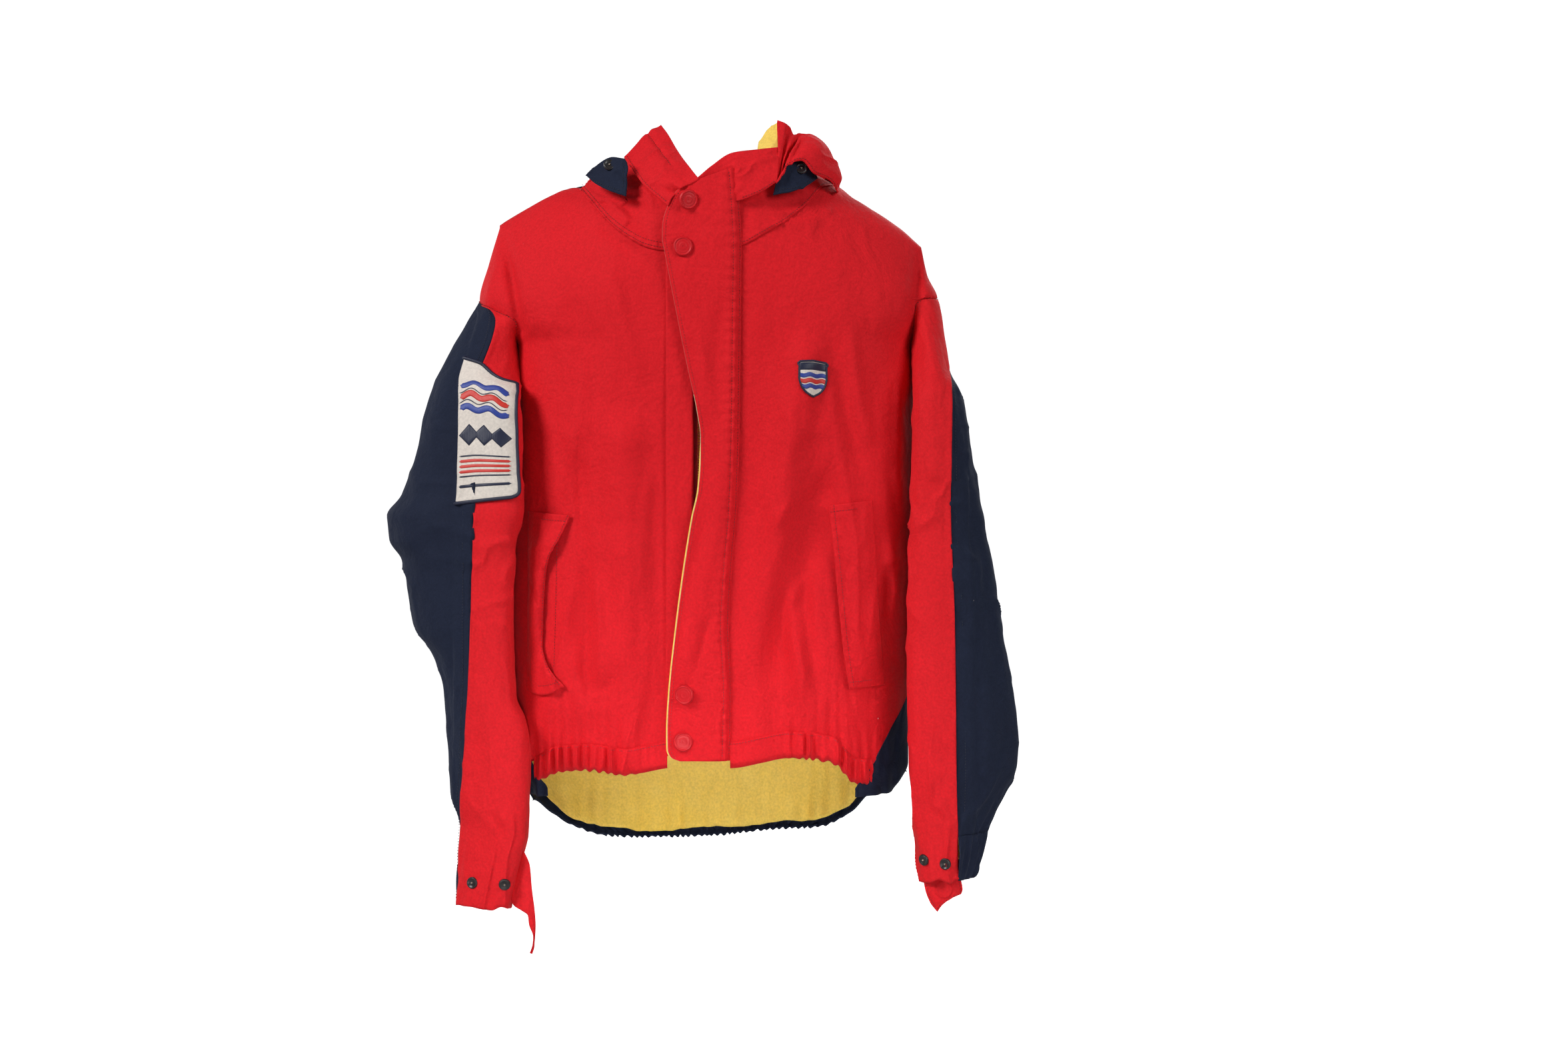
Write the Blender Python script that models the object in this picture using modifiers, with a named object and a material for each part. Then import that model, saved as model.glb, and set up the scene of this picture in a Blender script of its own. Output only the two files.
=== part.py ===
"""Foul weather jacket, hanging empty.

Metres, +Z up, front facing -Y. The origin is the centre of the back neck, at the height where the
shoulders are held. "Right" and "left" are the wearer's: right is -X, left is +X.
"""
import bisect
import math

import bmesh
import bpy
from mathutils import Vector

# ---- driving dimensions ----------------------------------------------------------------------------
CLOTH = 0.0018
LINING = 0.0010
SEAM_GAP = 0.0005
LINING_INSET = 0.0070
SLEEVE_LINING_INSET = 0.0090
BODY_HALF_DEPTH = 0.088
BODY_FLAT_HALF = 0.050
SHOULDER_ROUND = 0.150
PANEL_SPLIT = 0.0020

ZIP_X = -0.008
ZIP_TOP = -0.050
ZIP_BOTTOM = -0.572
ZIP_PLANE = -0.0853
TOOTH_INNER = 0.0006
TOOTH_OUTER = 0.0030
TOOTH_PITCH = 0.018
TOOTH_THICK = 0.0024
TAPE_THICK = 0.0008
TAPE_WIDTH = 0.013
FRONT_EDGE_FROM_ZIP = 0.0075

FLAP_INNER = -0.0955
SNAP_CAP_RADIUS = 0.0100
SNAP_POSTS = ((-0.0206, -0.0240), (-0.0259, -0.0708), (-0.0239, -0.5223), (-0.0256, -0.5700))
SNAP_HOLE = 0.0034

HEM_BAND = 0.0250
HEM_SEAM_GAP = 0.0022
YOKE_SEAM_GAP = 0.0040
GUSSET_GAP = 0.0014

RED = (0.630, 0.014, 0.019)
SLEEVE_RED = (0.644, 0.016, 0.022)
NAVY = (0.014, 0.019, 0.040)
YELLOW = (0.670, 0.440, 0.080)
DARK_RED = (0.330, 0.010, 0.014)
CAP_RED = (0.694, 0.031, 0.041)
STUD_BLACK = (0.035, 0.020, 0.020)
OFF_WHITE = (0.720, 0.630, 0.580)

# Each outline is (height, distance from the centre line), top to bottom, for the wearer's right and left.
BODY_HALF_WIDTH = {
    -1: ((-0.040, 0.2225), (-0.078, 0.2335), (-0.117, 0.2430), (-0.140, 0.2330), (-0.165, 0.1900),
         (-0.200, 0.1960), (-0.300, 0.2200), (-0.420, 0.2230), (-0.540, 0.2120), (-0.600, 0.2090),
         (-0.636, 0.1900), (-0.660, 0.1750), (-0.690, 0.1500)),
    1: ((-0.060, 0.2200), (-0.090, 0.2265), (-0.117, 0.2370), (-0.140, 0.2290), (-0.165, 0.1900),
        (-0.200, 0.1960), (-0.300, 0.2160), (-0.420, 0.2180), (-0.540, 0.2060), (-0.600, 0.2065),
        (-0.636, 0.1860), (-0.660, 0.1740), (-0.690, 0.1490)),
}
ARMHOLE = ((-0.117, 0.0), (-0.138, -0.0330), (-0.165, 0.0))
RIDGE = ((-0.2430, -0.0560), (-0.2225, -0.0400), (-0.1280, 0.0080), (-0.0850, 0.0400), (0.0, 0.1100),
         (0.0850, 0.0350), (0.1330, 0.0020), (0.2225, -0.0630), (0.2430, -0.0800))
YOKE_SEAM = {
    -1: ((-0.1360, 0.0010), (-0.1190, -0.0260), (-0.0980, -0.0480), (-0.0630, -0.0690), (-0.0155, -0.0720)),
    1: ((0.0015, -0.0740), (0.0343, -0.0664), (0.0560, -0.0556), (0.0770, -0.0440), (0.0986, -0.0265),
        (0.1240, 0.0040)),
}
NECK_SEAM = {
    -1: ((-0.1240, 0.0020), (-0.1050, -0.0020), (-0.0750, -0.0180), (-0.0450, -0.0340), (-0.0155, -0.0400)),
    1: ((0.0015, -0.0380), (0.0343, -0.0280), (0.0600, -0.0190), (0.0850, -0.0080), (0.1160, 0.0010)),
}
FRONT_HEM = {
    -1: ((-0.2090, -0.6200), (-0.1777, -0.6147), (-0.1535, -0.6050), (-0.1200, -0.6006), (-0.0861, -0.6046),
         (-0.0155, -0.5900)),
    1: ((0.0015, -0.5900), (0.0224, -0.5979), (0.0541, -0.5925), (0.0985, -0.5891), (0.1261, -0.5939),
        (0.1500, -0.6160), (0.2060, -0.6200)),
}
BACK_HEM = ((-0.2100, -0.6380), (-0.1900, -0.6660), (-0.1563, -0.6863), (-0.1063, -0.6900), (0.0, -0.6885),
            (0.0836, -0.6827), (0.1488, -0.6769), (0.1850, -0.6600), (0.2070, -0.6320))
GUSSET_SEAM = {
    -1: ((-0.520, 0.2138), (-0.5652, 0.1950), (-0.6015, 0.1790), (-0.6207, 0.1680)),
    1: ((-0.520, 0.2080), (-0.5652, 0.1846), (-0.6015, 0.1640), (-0.6207, 0.1496)),
}

SLEEVE_OUTER = {
    -1: ((-0.118, 0.2455), (-0.147, 0.2589), (-0.181, 0.2761), (-0.216, 0.2885), (-0.285, 0.3044),
         (-0.319, 0.3167), (-0.343, 0.3335), (-0.366, 0.3322), (-0.388, 0.3188), (-0.457, 0.3044),
         (-0.491, 0.2837), (-0.526, 0.2748), (-0.629, 0.2692), (-0.663, 0.2582), (-0.739, 0.2589)),
    1: ((-0.118, 0.2390), (-0.163, 0.2436), (-0.193, 0.2470), (-0.215, 0.2574), (-0.285, 0.2692),
        (-0.353, 0.2810), (-0.388, 0.2906), (-0.457, 0.3000), (-0.526, 0.3113), (-0.578, 0.3162),
        (-0.600, 0.3150), (-0.630, 0.3016), (-0.665, 0.2837), (-0.700, 0.2733), (-0.712, 0.2700)),
}
SLEEVE_INNER = {
    -1: ((-0.118, 0.1940), (-0.182, 0.1965), (-0.257, 0.1920), (-0.329, 0.1900), (-0.380, 0.1965),
         (-0.457, 0.1979), (-0.528, 0.1958), (-0.548, 0.1870), (-0.584, 0.1814), (-0.667, 0.1840),
         (-0.690, 0.1900), (-0.739, 0.2013)),
    1: ((-0.118, 0.1940), (-0.174, 0.1990), (-0.276, 0.1995), (-0.351, 0.2023), (-0.511, 0.2029),
        (-0.591, 0.2050), (-0.670, 0.2091), (-0.712, 0.2140)),
}
SLEEVE_FRONT_SEAM = {
    -1: ((-0.118, 0.2320), (-0.252, 0.2350), (-0.337, 0.2363), (-0.454, 0.2397), (-0.556, 0.2444),
         (-0.646, 0.2500), (-0.739, 0.2540)),
    1: ((-0.118, 0.2360), (-0.196, 0.2450), (-0.320, 0.2434), (-0.455, 0.2475), (-0.607, 0.2495),
        (-0.712, 0.2515)),
}
SLEEVE_BOTTOM = {-1: -0.739, 1: -0.712}
CUFF_HEIGHT = 0.045

FLAP_FREE_EDGE = ((-0.0101, -0.0046), (-0.0301, -0.0139), (-0.0382, -0.0246), (-0.0429, -0.0347),
                  (-0.0462, -0.0501), (-0.0462, -0.0641), (-0.0409, -0.0922), (-0.0304, -0.1458),
                  (-0.0208, -0.1927), (-0.0116, -0.2355), (-0.0071, -0.2643), (-0.0074, -0.2823),
                  (-0.0098, -0.3145), (-0.0161, -0.3399), (-0.0268, -0.4089), (-0.0315, -0.4571),
                  (-0.0395, -0.5340), (-0.0412, -0.5588), (-0.0409, -0.5782), (-0.0362, -0.5869),
                  (-0.0288, -0.5896))
FLAP_SEWN_EDGE = ((0.0220, -0.5898), (0.0234, -0.5148), (0.0205, -0.4572), (0.0240, -0.3902),
                  (0.0287, -0.3345), (0.0314, -0.2448), (0.0327, -0.1255), (0.0334, -0.0686),
                  (0.0314, -0.0277), (0.0281, 0.0105), (0.0100, 0.0070))


# ---- small tools --------------------------------------------------------------------------------------
def along(points, at):
    """Value of an outline at a height or distance: straight between its points, held level past its ends."""
    pairs = sorted(points)
    keys = [pair[0] for pair in pairs]
    place = bisect.bisect(keys, at)
    if place == 0:
        return pairs[0][1]
    if place == len(pairs):
        return pairs[-1][1]
    (key_a, value_a), (key_b, value_b) = pairs[place - 1], pairs[place]
    return value_a + (value_b - value_a) * (at - key_a) / (key_b - key_a)


def mix(a, b, t):
    return a + (b - a) * t


def spread(start, end, count):
    return [mix(start, end, i / (count - 1)) for i in range(count)]


def clear_scene():
    for item in list(bpy.data.objects):
        bpy.data.objects.remove(item, do_unlink=True)


def make_collection(title):
    group = bpy.data.collections.new(title)
    bpy.context.scene.collection.children.link(group)
    return group


def finish_material(title, colour, roughness, metallic=0.0):
    found = bpy.data.materials.get(title)
    if found:
        return found
    material = bpy.data.materials.new(title)
    material.use_nodes = True
    shader = material.node_tree.nodes["Principled BSDF"]
    shader.inputs["Base Color"].default_value = (*colour, 1.0)
    shader.inputs["Roughness"].default_value = roughness
    shader.inputs["Metallic"].default_value = metallic
    return material


def add_piece(name, mesh, finish):
    piece = bpy.data.objects.new(name, mesh)
    mesh.materials.append(finish_material(name, *finish))
    PARTS.objects.link(piece)
    return piece


def solid_from(name, piece):
    """Replace a curve or primitive by the mesh it evaluates to, welded, in world space."""
    view = bpy.context.evaluated_depsgraph_get()
    view.update()
    mesh = bpy.data.meshes.new_from_object(piece.evaluated_get(view))
    mesh.transform(piece.matrix_world)
    bpy.data.objects.remove(piece, do_unlink=True)
    work = bmesh.new()
    work.from_mesh(mesh)
    bmesh.ops.remove_doubles(work, verts=work.verts, dist=0.00001)
    bmesh.ops.recalc_face_normals(work, faces=work.faces)
    work.to_mesh(mesh)
    work.free()
    mesh.name = name
    return mesh


def sheet_mesh(name, rows, inside, closed=False):
    """A cloth surface lofted through rows of points, its faces turned away from inside(point)."""
    work = bmesh.new()
    grid = [[work.verts.new(point) for point in row] for row in rows]
    width = len(grid[0])
    last = width if closed else width - 1
    for upper, lower in zip(grid, grid[1:]):
        for i in range(last):
            j = (i + 1) % width
            work.faces.new((upper[i], upper[j], lower[j], lower[i]))
    work.normal_update()
    outward = sum(face.normal.dot(face.calc_center_median() - inside(face.calc_center_median()))
                  for face in work.faces)
    if outward < 0:
        bmesh.ops.reverse_faces(work, faces=work.faces)
    mesh = bpy.data.meshes.new(name)
    work.to_mesh(mesh)
    work.free()
    return mesh


def cloth(name, rows, finish, inside, thickness=CLOTH, closed=False):
    """One cloth piece: its outer face is the loft, and Solidify gives it thickness on the inner side."""
    piece = add_piece(name, sheet_mesh(name, rows, inside, closed), finish)
    solid = piece.modifiers.new("thickness", 'SOLIDIFY')
    solid.thickness = thickness
    solid.offset = -1.0
    return piece


def flat_plate(name, outline, back, thickness, finish):
    """A flat piece cut to an outline in X and Z. back is its rear face's Y; it is thick towards -Y."""
    curve = bpy.data.curves.new(name, 'CURVE')
    curve.dimensions = '2D'
    curve.fill_mode = 'BOTH'
    curve.extrude = thickness / 2
    spline = curve.splines.new('POLY')
    spline.points.add(len(outline) - 1)
    for point, (x, z) in zip(spline.points, outline):
        point.co = (x, z, 0.0, 1.0)
    spline.use_cyclic_u = True
    guide = bpy.data.objects.new(name, curve)
    guide.rotation_euler = (math.pi / 2, 0.0, 0.0)
    guide.location = (0.0, back - thickness / 2, 0.0)
    PARTS.objects.link(guide)
    bpy.context.view_layer.update()
    return add_piece(name, solid_from(name, guide), finish)


def round_cord(name, points, radius, finish):
    """A cord or roll along a smooth route."""
    curve = bpy.data.curves.new(name, 'CURVE')
    curve.dimensions = '3D'
    curve.bevel_depth = radius
    curve.bevel_resolution = 2
    curve.use_fill_caps = True
    spline = curve.splines.new('POLY')
    spline.points.add(len(points) - 1)
    for point, place in zip(spline.points, points):
        point.co = (*place, 1.0)
    guide = bpy.data.objects.new(name, curve)
    PARTS.objects.link(guide)
    bpy.context.view_layer.update()
    return add_piece(name, solid_from(name, guide), finish)


def turned(name, profile, place, finish, tilt=0.0, steps=16):
    """A turned fastener: (radius, height) from its top centre to its bottom centre, facing -Y."""
    mesh = bpy.data.meshes.new(name)
    work = bmesh.new()
    rims = [work.verts.new((radius, 0.0, height)) for radius, height in profile]
    for a, b in zip(rims, rims[1:]):
        work.edges.new((a, b))
    work.to_mesh(mesh)
    work.free()
    piece = add_piece(name, mesh, finish)
    piece.location = place
    piece.rotation_euler = (math.pi / 2 + tilt, 0.0, 0.0)
    screw = piece.modifiers.new("turn", 'SCREW')
    screw.steps = steps
    screw.render_steps = steps
    screw.use_merge_vertices = True
    screw.merge_threshold = 0.00001
    screw.use_smooth_shade = True
    return piece


def cut_hole(piece, name, place, radius, length):
    """Cut a round hole along Y."""
    bpy.ops.mesh.primitive_cylinder_add(vertices=12, radius=radius, depth=length, location=place,
                                        rotation=(math.pi / 2, 0.0, 0.0))
    cutter = bpy.context.object
    cutter.name = name
    for group in list(cutter.users_collection):
        group.objects.unlink(cutter)
    CUTTERS.objects.link(cutter)
    cutter.hide_render = True
    cutter.display_type = 'WIRE'
    hole = piece.modifiers.new(name, 'BOOLEAN')
    hole.operation = 'DIFFERENCE'
    hole.object = cutter


# ---- the body's surface ---------------------------------------------------------------------------------
def side_width(side, z):
    return along(BODY_HALF_WIDTH[side], z)


def panel_limit(side, z):
    """Where the front and back panels meet at the side. It steps inward round the armhole."""
    return side_width(side, z) + along(ARMHOLE, z)


def body_depth(x, z, inset=0.0):
    """Distance of the outer surface from the jacket's middle plane."""
    side = -1 if x < 0 else 1
    half = side_width(side, z) - inset
    across = min(max(abs(x) - BODY_FLAT_HALF, 0.0) / (half - BODY_FLAT_HALF), 1.0)
    round_side = (1.0 - across ** 2.2) ** (1 / 2.2)
    below = min(max(along(RIDGE, x) - inset - z, 0.0) / SHOULDER_ROUND, 1.0)
    round_top = math.sqrt(1.0 - (1.0 - below) ** 2)
    return PANEL_SPLIT + (BODY_HALF_DEPTH - inset - PANEL_SPLIT) * round_side * round_top


def body_axis(point):
    return Vector((max(min(point.x, 0.12), -0.12), 0.0, min(point.z, -0.12)))


def front_point(x, z, lift=0.0, inset=0.0):
    return Vector((x, -body_depth(x, z, inset) - lift, z))


def back_point(x, z, lift=0.0, inset=0.0):
    return Vector((x, body_depth(x, z, inset) + lift, z))


def front_rows(side, top, bottom, edge, columns=9, inset=0.0):
    """Rows from the shoulder to the hem, columns from the centre edge to the side."""
    rows = []
    tip = BODY_HALF_WIDTH[side][0][1]
    for level in level_fractions(side, top, bottom, hem_reach(side), inset):
        row = []
        for j in range(columns):
            share = math.sin(j / (columns - 1) * math.pi / 2)
            x_top = mix(edge, side * (tip - inset), share)
            low = along(bottom, mix(edge, side * hem_reach(side), share))
            z = mix(along(top, x_top) - inset, low, level)
            limit = panel_limit(side, z) - inset
            if z < GUSSET_SEAM[side][0][0]:
                limit = min(limit, along(GUSSET_SEAM[side], z) - GUSSET_GAP - inset)
            row.append(front_point(mix(edge, side * limit, share), z, inset=inset))
        rows.append(row)
    return rows


def hem_reach(side):
    """How far from the centre line the front's hem ends at the gusset."""
    return along(GUSSET_SEAM[side], -0.6015)


def level_fractions(side, top, bottom, reach, inset):
    """Row heights as shares of the side seam's height, with rows at the corners of armhole and gusset."""
    z_top = along(top, side * BODY_HALF_WIDTH[side][0][1]) - inset
    z_low = along(bottom, side * reach)
    heights = (z_top, z_top - 0.006, z_top - 0.020, mix(z_top, -0.117, 0.6), -0.117, -0.138, -0.165, -0.215,
               -0.290, -0.380, -0.460, -0.520, -0.5652, z_low)
    return [(z - z_top) / (z_low - z_top) for z in heights]


def above(outline, rise):
    return tuple((x, z + rise) for x, z in outline)


def top_of_front(side):
    """The yoke seam, then the shoulder ridge out to the tip."""
    ridge = tuple((x, along(RIDGE, x)) for x in (side * 0.150, side * 0.185, side * 0.2225))
    return YOKE_SEAM[side] + ridge


def build_fronts():
    for side, title in ((-1, "right"), (1, "left")):
        edge = ZIP_X + side * FRONT_EDGE_FROM_ZIP
        hem_seam = above(FRONT_HEM[side], HEM_BAND + HEM_SEAM_GAP)
        rows = front_rows(side, top_of_front(side), hem_seam, edge, columns=11)
        cloth("front_panel_" + title, rows, (RED, 0.75), body_axis)
        lining_edge = ZIP_X + side * 0.011
        lining_top = above(top_of_front(side), -0.004)
        rows = front_rows(side, lining_top, hem_seam, lining_edge, columns=7, inset=LINING_INSET)
        cloth("front_lining_" + title, rows, (YELLOW, 0.60), body_axis, thickness=LINING)
        build_yoke(side, title, edge)
        build_hem_band(side, title, edge)
        build_gusset(side, title)
        build_pocket(side, title)


def build_yoke(side, title, edge):
    """The strip between the collar seam and the stitched yoke seam."""
    rows = []
    xs = spread(edge, side * 0.112, 9)
    for share in spread(0.0, 1.0, 4):
        row = []
        for x in xs:
            upper = along(NECK_SEAM[side], x)
            lower = along(YOKE_SEAM[side], x) + YOKE_SEAM_GAP
            row.append(front_point(x, mix(upper, lower, share)))
        rows.append(row)
    cloth("neck_yoke_" + title, rows, (RED, 0.75), body_axis)


def build_hem_band(side, title, edge):
    """The turned hem of one front, a casing round its elastic."""
    start = -0.047 if side < 0 else 0.0224
    reach = side * hem_reach(side)
    rows = []
    for share in spread(0.0, 1.0, 3):
        side_z = along(FRONT_HEM[side], reach) + HEM_BAND * (1.0 - share)
        end = side * (along(GUSSET_SEAM[side], side_z) - GUSSET_GAP)
        row = []
        for x in spread(start, end, 9):
            low = along(FRONT_HEM[side], x)
            row.append(front_point(x, mix(low + HEM_BAND, low, share)))
        rows.append(row)
    cloth("hem_band_" + title, rows, (RED, 0.75), body_axis, thickness=0.0024)


def build_gusset(side, title):
    """The navy wedge at the side, between the front's slanted seam and the back panel."""
    rows = []
    for z in (-0.534, -0.5652, -0.6015, -0.6195):
        seam = along(GUSSET_SEAM[side], z) + GUSSET_GAP
        rows.append([front_point(side * mix(seam, side_width(side, z), share), z)
                     for share in (0.0, 0.4, 0.75, 0.93, 1.0)])
    cloth("side_gusset_" + title, rows, (NAVY, 0.75), body_axis)


def build_pocket(side, title):
    """Pocket bag, hidden between the front and its lining."""
    xs = spread(side * 0.105, side * 0.160, 4)
    rows = [[front_point(x, z, lift=-0.0032) for x in xs] for z in spread(-0.335, -0.535, 5)]
    cloth("pocket_bag_" + title, rows, (YELLOW, 0.70), body_axis, thickness=0.0010)


# ---- pocket flaps -----------------------------------------------------------------------------------------
POCKET_FLAP = {
    -1: {"hinge": ((-0.1850, -0.3351), (-0.1840, -0.5200)), "free": ((-0.1400, -0.3398), (-0.1480, -0.5195))},
    1: {"hinge": ((0.1670, -0.3263), (0.1780, -0.5157)), "free": ((0.1210, -0.3317), (0.1426, -0.5178))},
}
POCKET_FLAP_LIFT = 0.0040


def build_pocket_flaps():
    """Each flap is sewn along its outer edge and lifts like a door."""
    for side, title in ((-1, "right"), (1, "left")):
        shape = POCKET_FLAP[side]
        rows = []
        for down in spread(0.0, 1.0, 5):
            hinge = [mix(shape["hinge"][0][i], shape["hinge"][1][i], down) for i in (0, 1)]
            free = [mix(shape["free"][0][i], shape["free"][1][i], down) for i in (0, 1)]
            start = front_point(hinge[0], hinge[1], lift=POCKET_FLAP_LIFT)
            end = front_point(free[0], free[1], lift=POCKET_FLAP_LIFT)
            row = []
            for share in spread(0.0, 1.0, 4):
                point = start.lerp(end, share)
                clear = front_point(point.x, point.z, lift=POCKET_FLAP_LIFT)
                row.append(Vector((point.x, min(point.y, clear.y), point.z)))
            rows.append(row)
        cloth("pocket_flap_" + title, rows, (RED, 0.75), body_axis, thickness=0.0020)


# ---- back ---------------------------------------------------------------------------------------------------
BACK_NECK = ((-0.2225, -0.0400), (-0.1280, 0.0080), (-0.1100, 0.0060), (-0.0600, -0.0030), (0.0, -0.0050),
             (0.0600, -0.0030), (0.1150, 0.0040), (0.1330, 0.0020), (0.2225, -0.0630))


BACK_REACH = 0.205


def back_rows(bottom, columns, inset=0.0):
    rows = []
    left_tip = BODY_HALF_WIDTH[1][0][1] - inset
    right_tip = BODY_HALF_WIDTH[-1][0][1] - inset
    for level in level_fractions(-1, BACK_NECK, bottom, BACK_REACH, inset):
        row = []
        for j in range(columns):
            share = math.sin((j / (columns - 1) - 0.5) * math.pi)
            side = -1 if share < 0 else 1
            tip = right_tip if side < 0 else left_tip
            top = along(BACK_NECK, share * tip) - inset
            low = along(bottom, share * BACK_REACH)
            z = mix(top, low, level)
            row.append(back_point(share * (panel_limit(side, z) - inset), z, inset=inset))
        rows.append(row)
    return rows


def build_back():
    hem_seam = above(BACK_HEM, HEM_BAND + HEM_SEAM_GAP)
    cloth("back_panel", back_rows(hem_seam, 17), (NAVY, 0.75), body_axis)
    lining = back_rows(above(BACK_HEM, HEM_BAND), 13, inset=LINING_INSET)
    cloth("back_lining", lining, (YELLOW, 0.60), body_axis, thickness=LINING)
    rows = []
    for share in spread(0.0, 1.0, 3):
        row = []
        for j in range(17):
            across = math.sin((j / 16 - 0.5) * math.pi)
            side = -1 if across < 0 else 1
            low = along(BACK_HEM, across * BACK_REACH)
            z = mix(low + HEM_BAND, low, share)
            row.append(back_point(across * side_width(side, z), z))
        rows.append(row)
    cloth("hem_band_back", rows, (NAVY, 0.75), body_axis, thickness=0.0024)


# ---- sleeves ----------------------------------------------------------------------------------------------
def sleeve_axis(side):
    def nearest(point):
        z = max(min(point.z, -0.16), SLEEVE_BOTTOM[side])
        middle = (along(SLEEVE_OUTER[side], z) + along(SLEEVE_INNER[side], z)) / 2
        return Vector((side * middle, along(SLEEVE_FORWARD, z), z))
    return nearest


SLEEVE_FORWARD = ((-0.118, 0.0), (-0.180, -0.024), (-0.240, -0.056), (-0.739, -0.058))
SLEEVE_HALF_DEPTH = ((-0.118, 0.0540), (-0.180, 0.0480), (-0.240, 0.0360), (-0.500, 0.0360),
                     (-0.650, 0.0320), (-0.739, 0.0280))
SLEEVE_SLANT = ((-0.118, 0.900), (-0.165, 0.600), (-0.215, 0.0), (-0.739, 0.0))
SLEEVE_TURN = ((-0.118, 0.0), (-0.180, 0.150), (-0.240, 0.400), (-0.739, 0.400))


def sleeve_point(side, z, angle, inset=0.0):
    """angle 0 is the outer fold, 90 degrees the front, 180 the inner fold, 270 the rear."""
    outer = along(SLEEVE_OUTER[side], z) - inset
    inner = along(SLEEVE_INNER[side], z) + inset
    half = (outer - inner) / 2
    reach = math.cos(angle) * half
    depth = math.sin(angle) * (along(SLEEVE_HALF_DEPTH, z) - inset)
    x = (outer + inner) / 2 + reach
    y = along(SLEEVE_FORWARD, z) + along(SLEEVE_TURN, z) * reach - depth
    drop = along(SLEEVE_SLANT, z) * (half - reach)
    return Vector((side * x, y, z - drop))


def seam_angle(side, z):
    """The angle at which the front seam between red and navy lies."""
    outer = along(SLEEVE_OUTER[side], z)
    inner = along(SLEEVE_INNER[side], z)
    share = (along(SLEEVE_FRONT_SEAM[side], z) - (outer + inner) / 2) / ((outer - inner) / 2)
    return math.acos(max(min(share, 0.95), -0.95))


REAR_SEAM_ANGLE = math.radians(200.0)


def sleeve_rows(side, levels, start, end, columns, inset=0.0):
    rows = []
    for z in levels:
        first = start(side, z)
        last = end(side, z)
        rows.append([sleeve_point(side, z, angle, inset) for angle in spread(first, last, columns)])
    return rows


def build_sleeves():
    for side, title in ((-1, "right"), (1, "left")):
        axis = sleeve_axis(side)
        bottom = SLEEVE_BOTTOM[side]
        levels = [-0.1185, -0.150, -0.182, -0.216, -0.260, -0.310, -0.345, -0.390, -0.457, -0.526,
                  -0.590, -0.630, -0.665, mix(-0.665, bottom, 0.5), bottom]
        half_gap = 0.075
        red = sleeve_rows(side, levels, lambda s, z: seam_angle(s, z) + half_gap,
                          lambda s, z: REAR_SEAM_ANGLE - half_gap, 9)
        cloth("sleeve_front_" + title, red, (SLEEVE_RED, 0.75), axis)
        upper = [z for z in levels if z > bottom + CUFF_HEIGHT] + [bottom + CUFF_HEIGHT + SEAM_GAP]
        navy = sleeve_rows(side, upper, lambda s, z: REAR_SEAM_ANGLE + half_gap,
                           lambda s, z: math.tau + seam_angle(s, z) - half_gap, 11)
        cloth("sleeve_back_" + title, navy, (NAVY, 0.75), axis)
        cuff = sleeve_rows(side, spread(bottom + CUFF_HEIGHT, bottom, 3), lambda s, z: REAR_SEAM_ANGLE + half_gap,
                           lambda s, z: math.tau + seam_angle(s, z) - half_gap, 11)
        cloth("cuff_gather_" + title, cuff, (NAVY, 0.75), axis, thickness=0.0024)
        lining = [[sleeve_point(side, z, math.tau * i / 12, SLEEVE_LINING_INSET) for i in range(12)]
                  for z in levels[1:-2]]
        cloth("sleeve_lining_" + title, lining, (YELLOW, 0.60), axis, thickness=LINING, closed=True)
        build_cuff_studs(side, title)


CUFF_STUDS = {
    -1: ((-0.2396, -0.7146), (-0.2090, -0.7146)),
    1: ((0.2215, -0.6916), (0.2400, -0.6940)),
}
STUD_PROFILE = ((0.0, 0.0022), (0.0020, 0.0022), (0.0030, 0.0014), (0.0052, 0.0012), (0.0058, 0.0006),
                (0.0058, 0.0), (0.0, 0.0))


def sleeve_front_y(side, x, z):
    """Outer surface of the sleeve's front face at a place in the front view."""
    outer = along(SLEEVE_OUTER[side], z)
    inner = along(SLEEVE_INNER[side], z)
    share = max(min((abs(x) - (outer + inner) / 2) / ((outer - inner) / 2), 1.0), -1.0)
    return sleeve_point(side, z, math.acos(share)).y


def build_cuff_studs(side, title):
    for number, (x, z) in enumerate(CUFF_STUDS[side], 1):
        surface = min(sleeve_front_y(side, x + dx, z) for dx in (-0.0058, 0.0, 0.0058))
        turned(f"cuff_stud_{title}_{number}", STUD_PROFILE, (x, surface - SEAM_GAP, z), (STUD_BLACK, 0.40, 0.60),
               steps=12)


def build_sleeve_patch():
    """The embroidered patch on the wearer's right sleeve. It wraps over the seam onto the navy."""
    axis = sleeve_axis(-1)
    rows = []
    for z in (-0.184, -0.216, -0.260, -0.310, -0.329):
        outer = along(SLEEVE_OUTER[-1], z)
        inner = along(SLEEVE_INNER[-1], z)
        middle = (outer + inner) / 2
        half = (outer - inner) / 2
        first = math.acos((0.262 - middle) / half)
        last = math.acos((0.1985 - middle) / half)
        rows.append([lifted_sleeve_point(-1, z, angle, 0.0042) for angle in spread(first, last, 7)])
    cloth("sleeve_patch", rows, (OFF_WHITE, 0.80), axis, thickness=0.0012)


def lifted_sleeve_point(side, z, angle, lift):
    point = sleeve_point(side, z, angle)
    outward = point - sleeve_axis(side)(point)
    return point + outward.normalized() * lift


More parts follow.
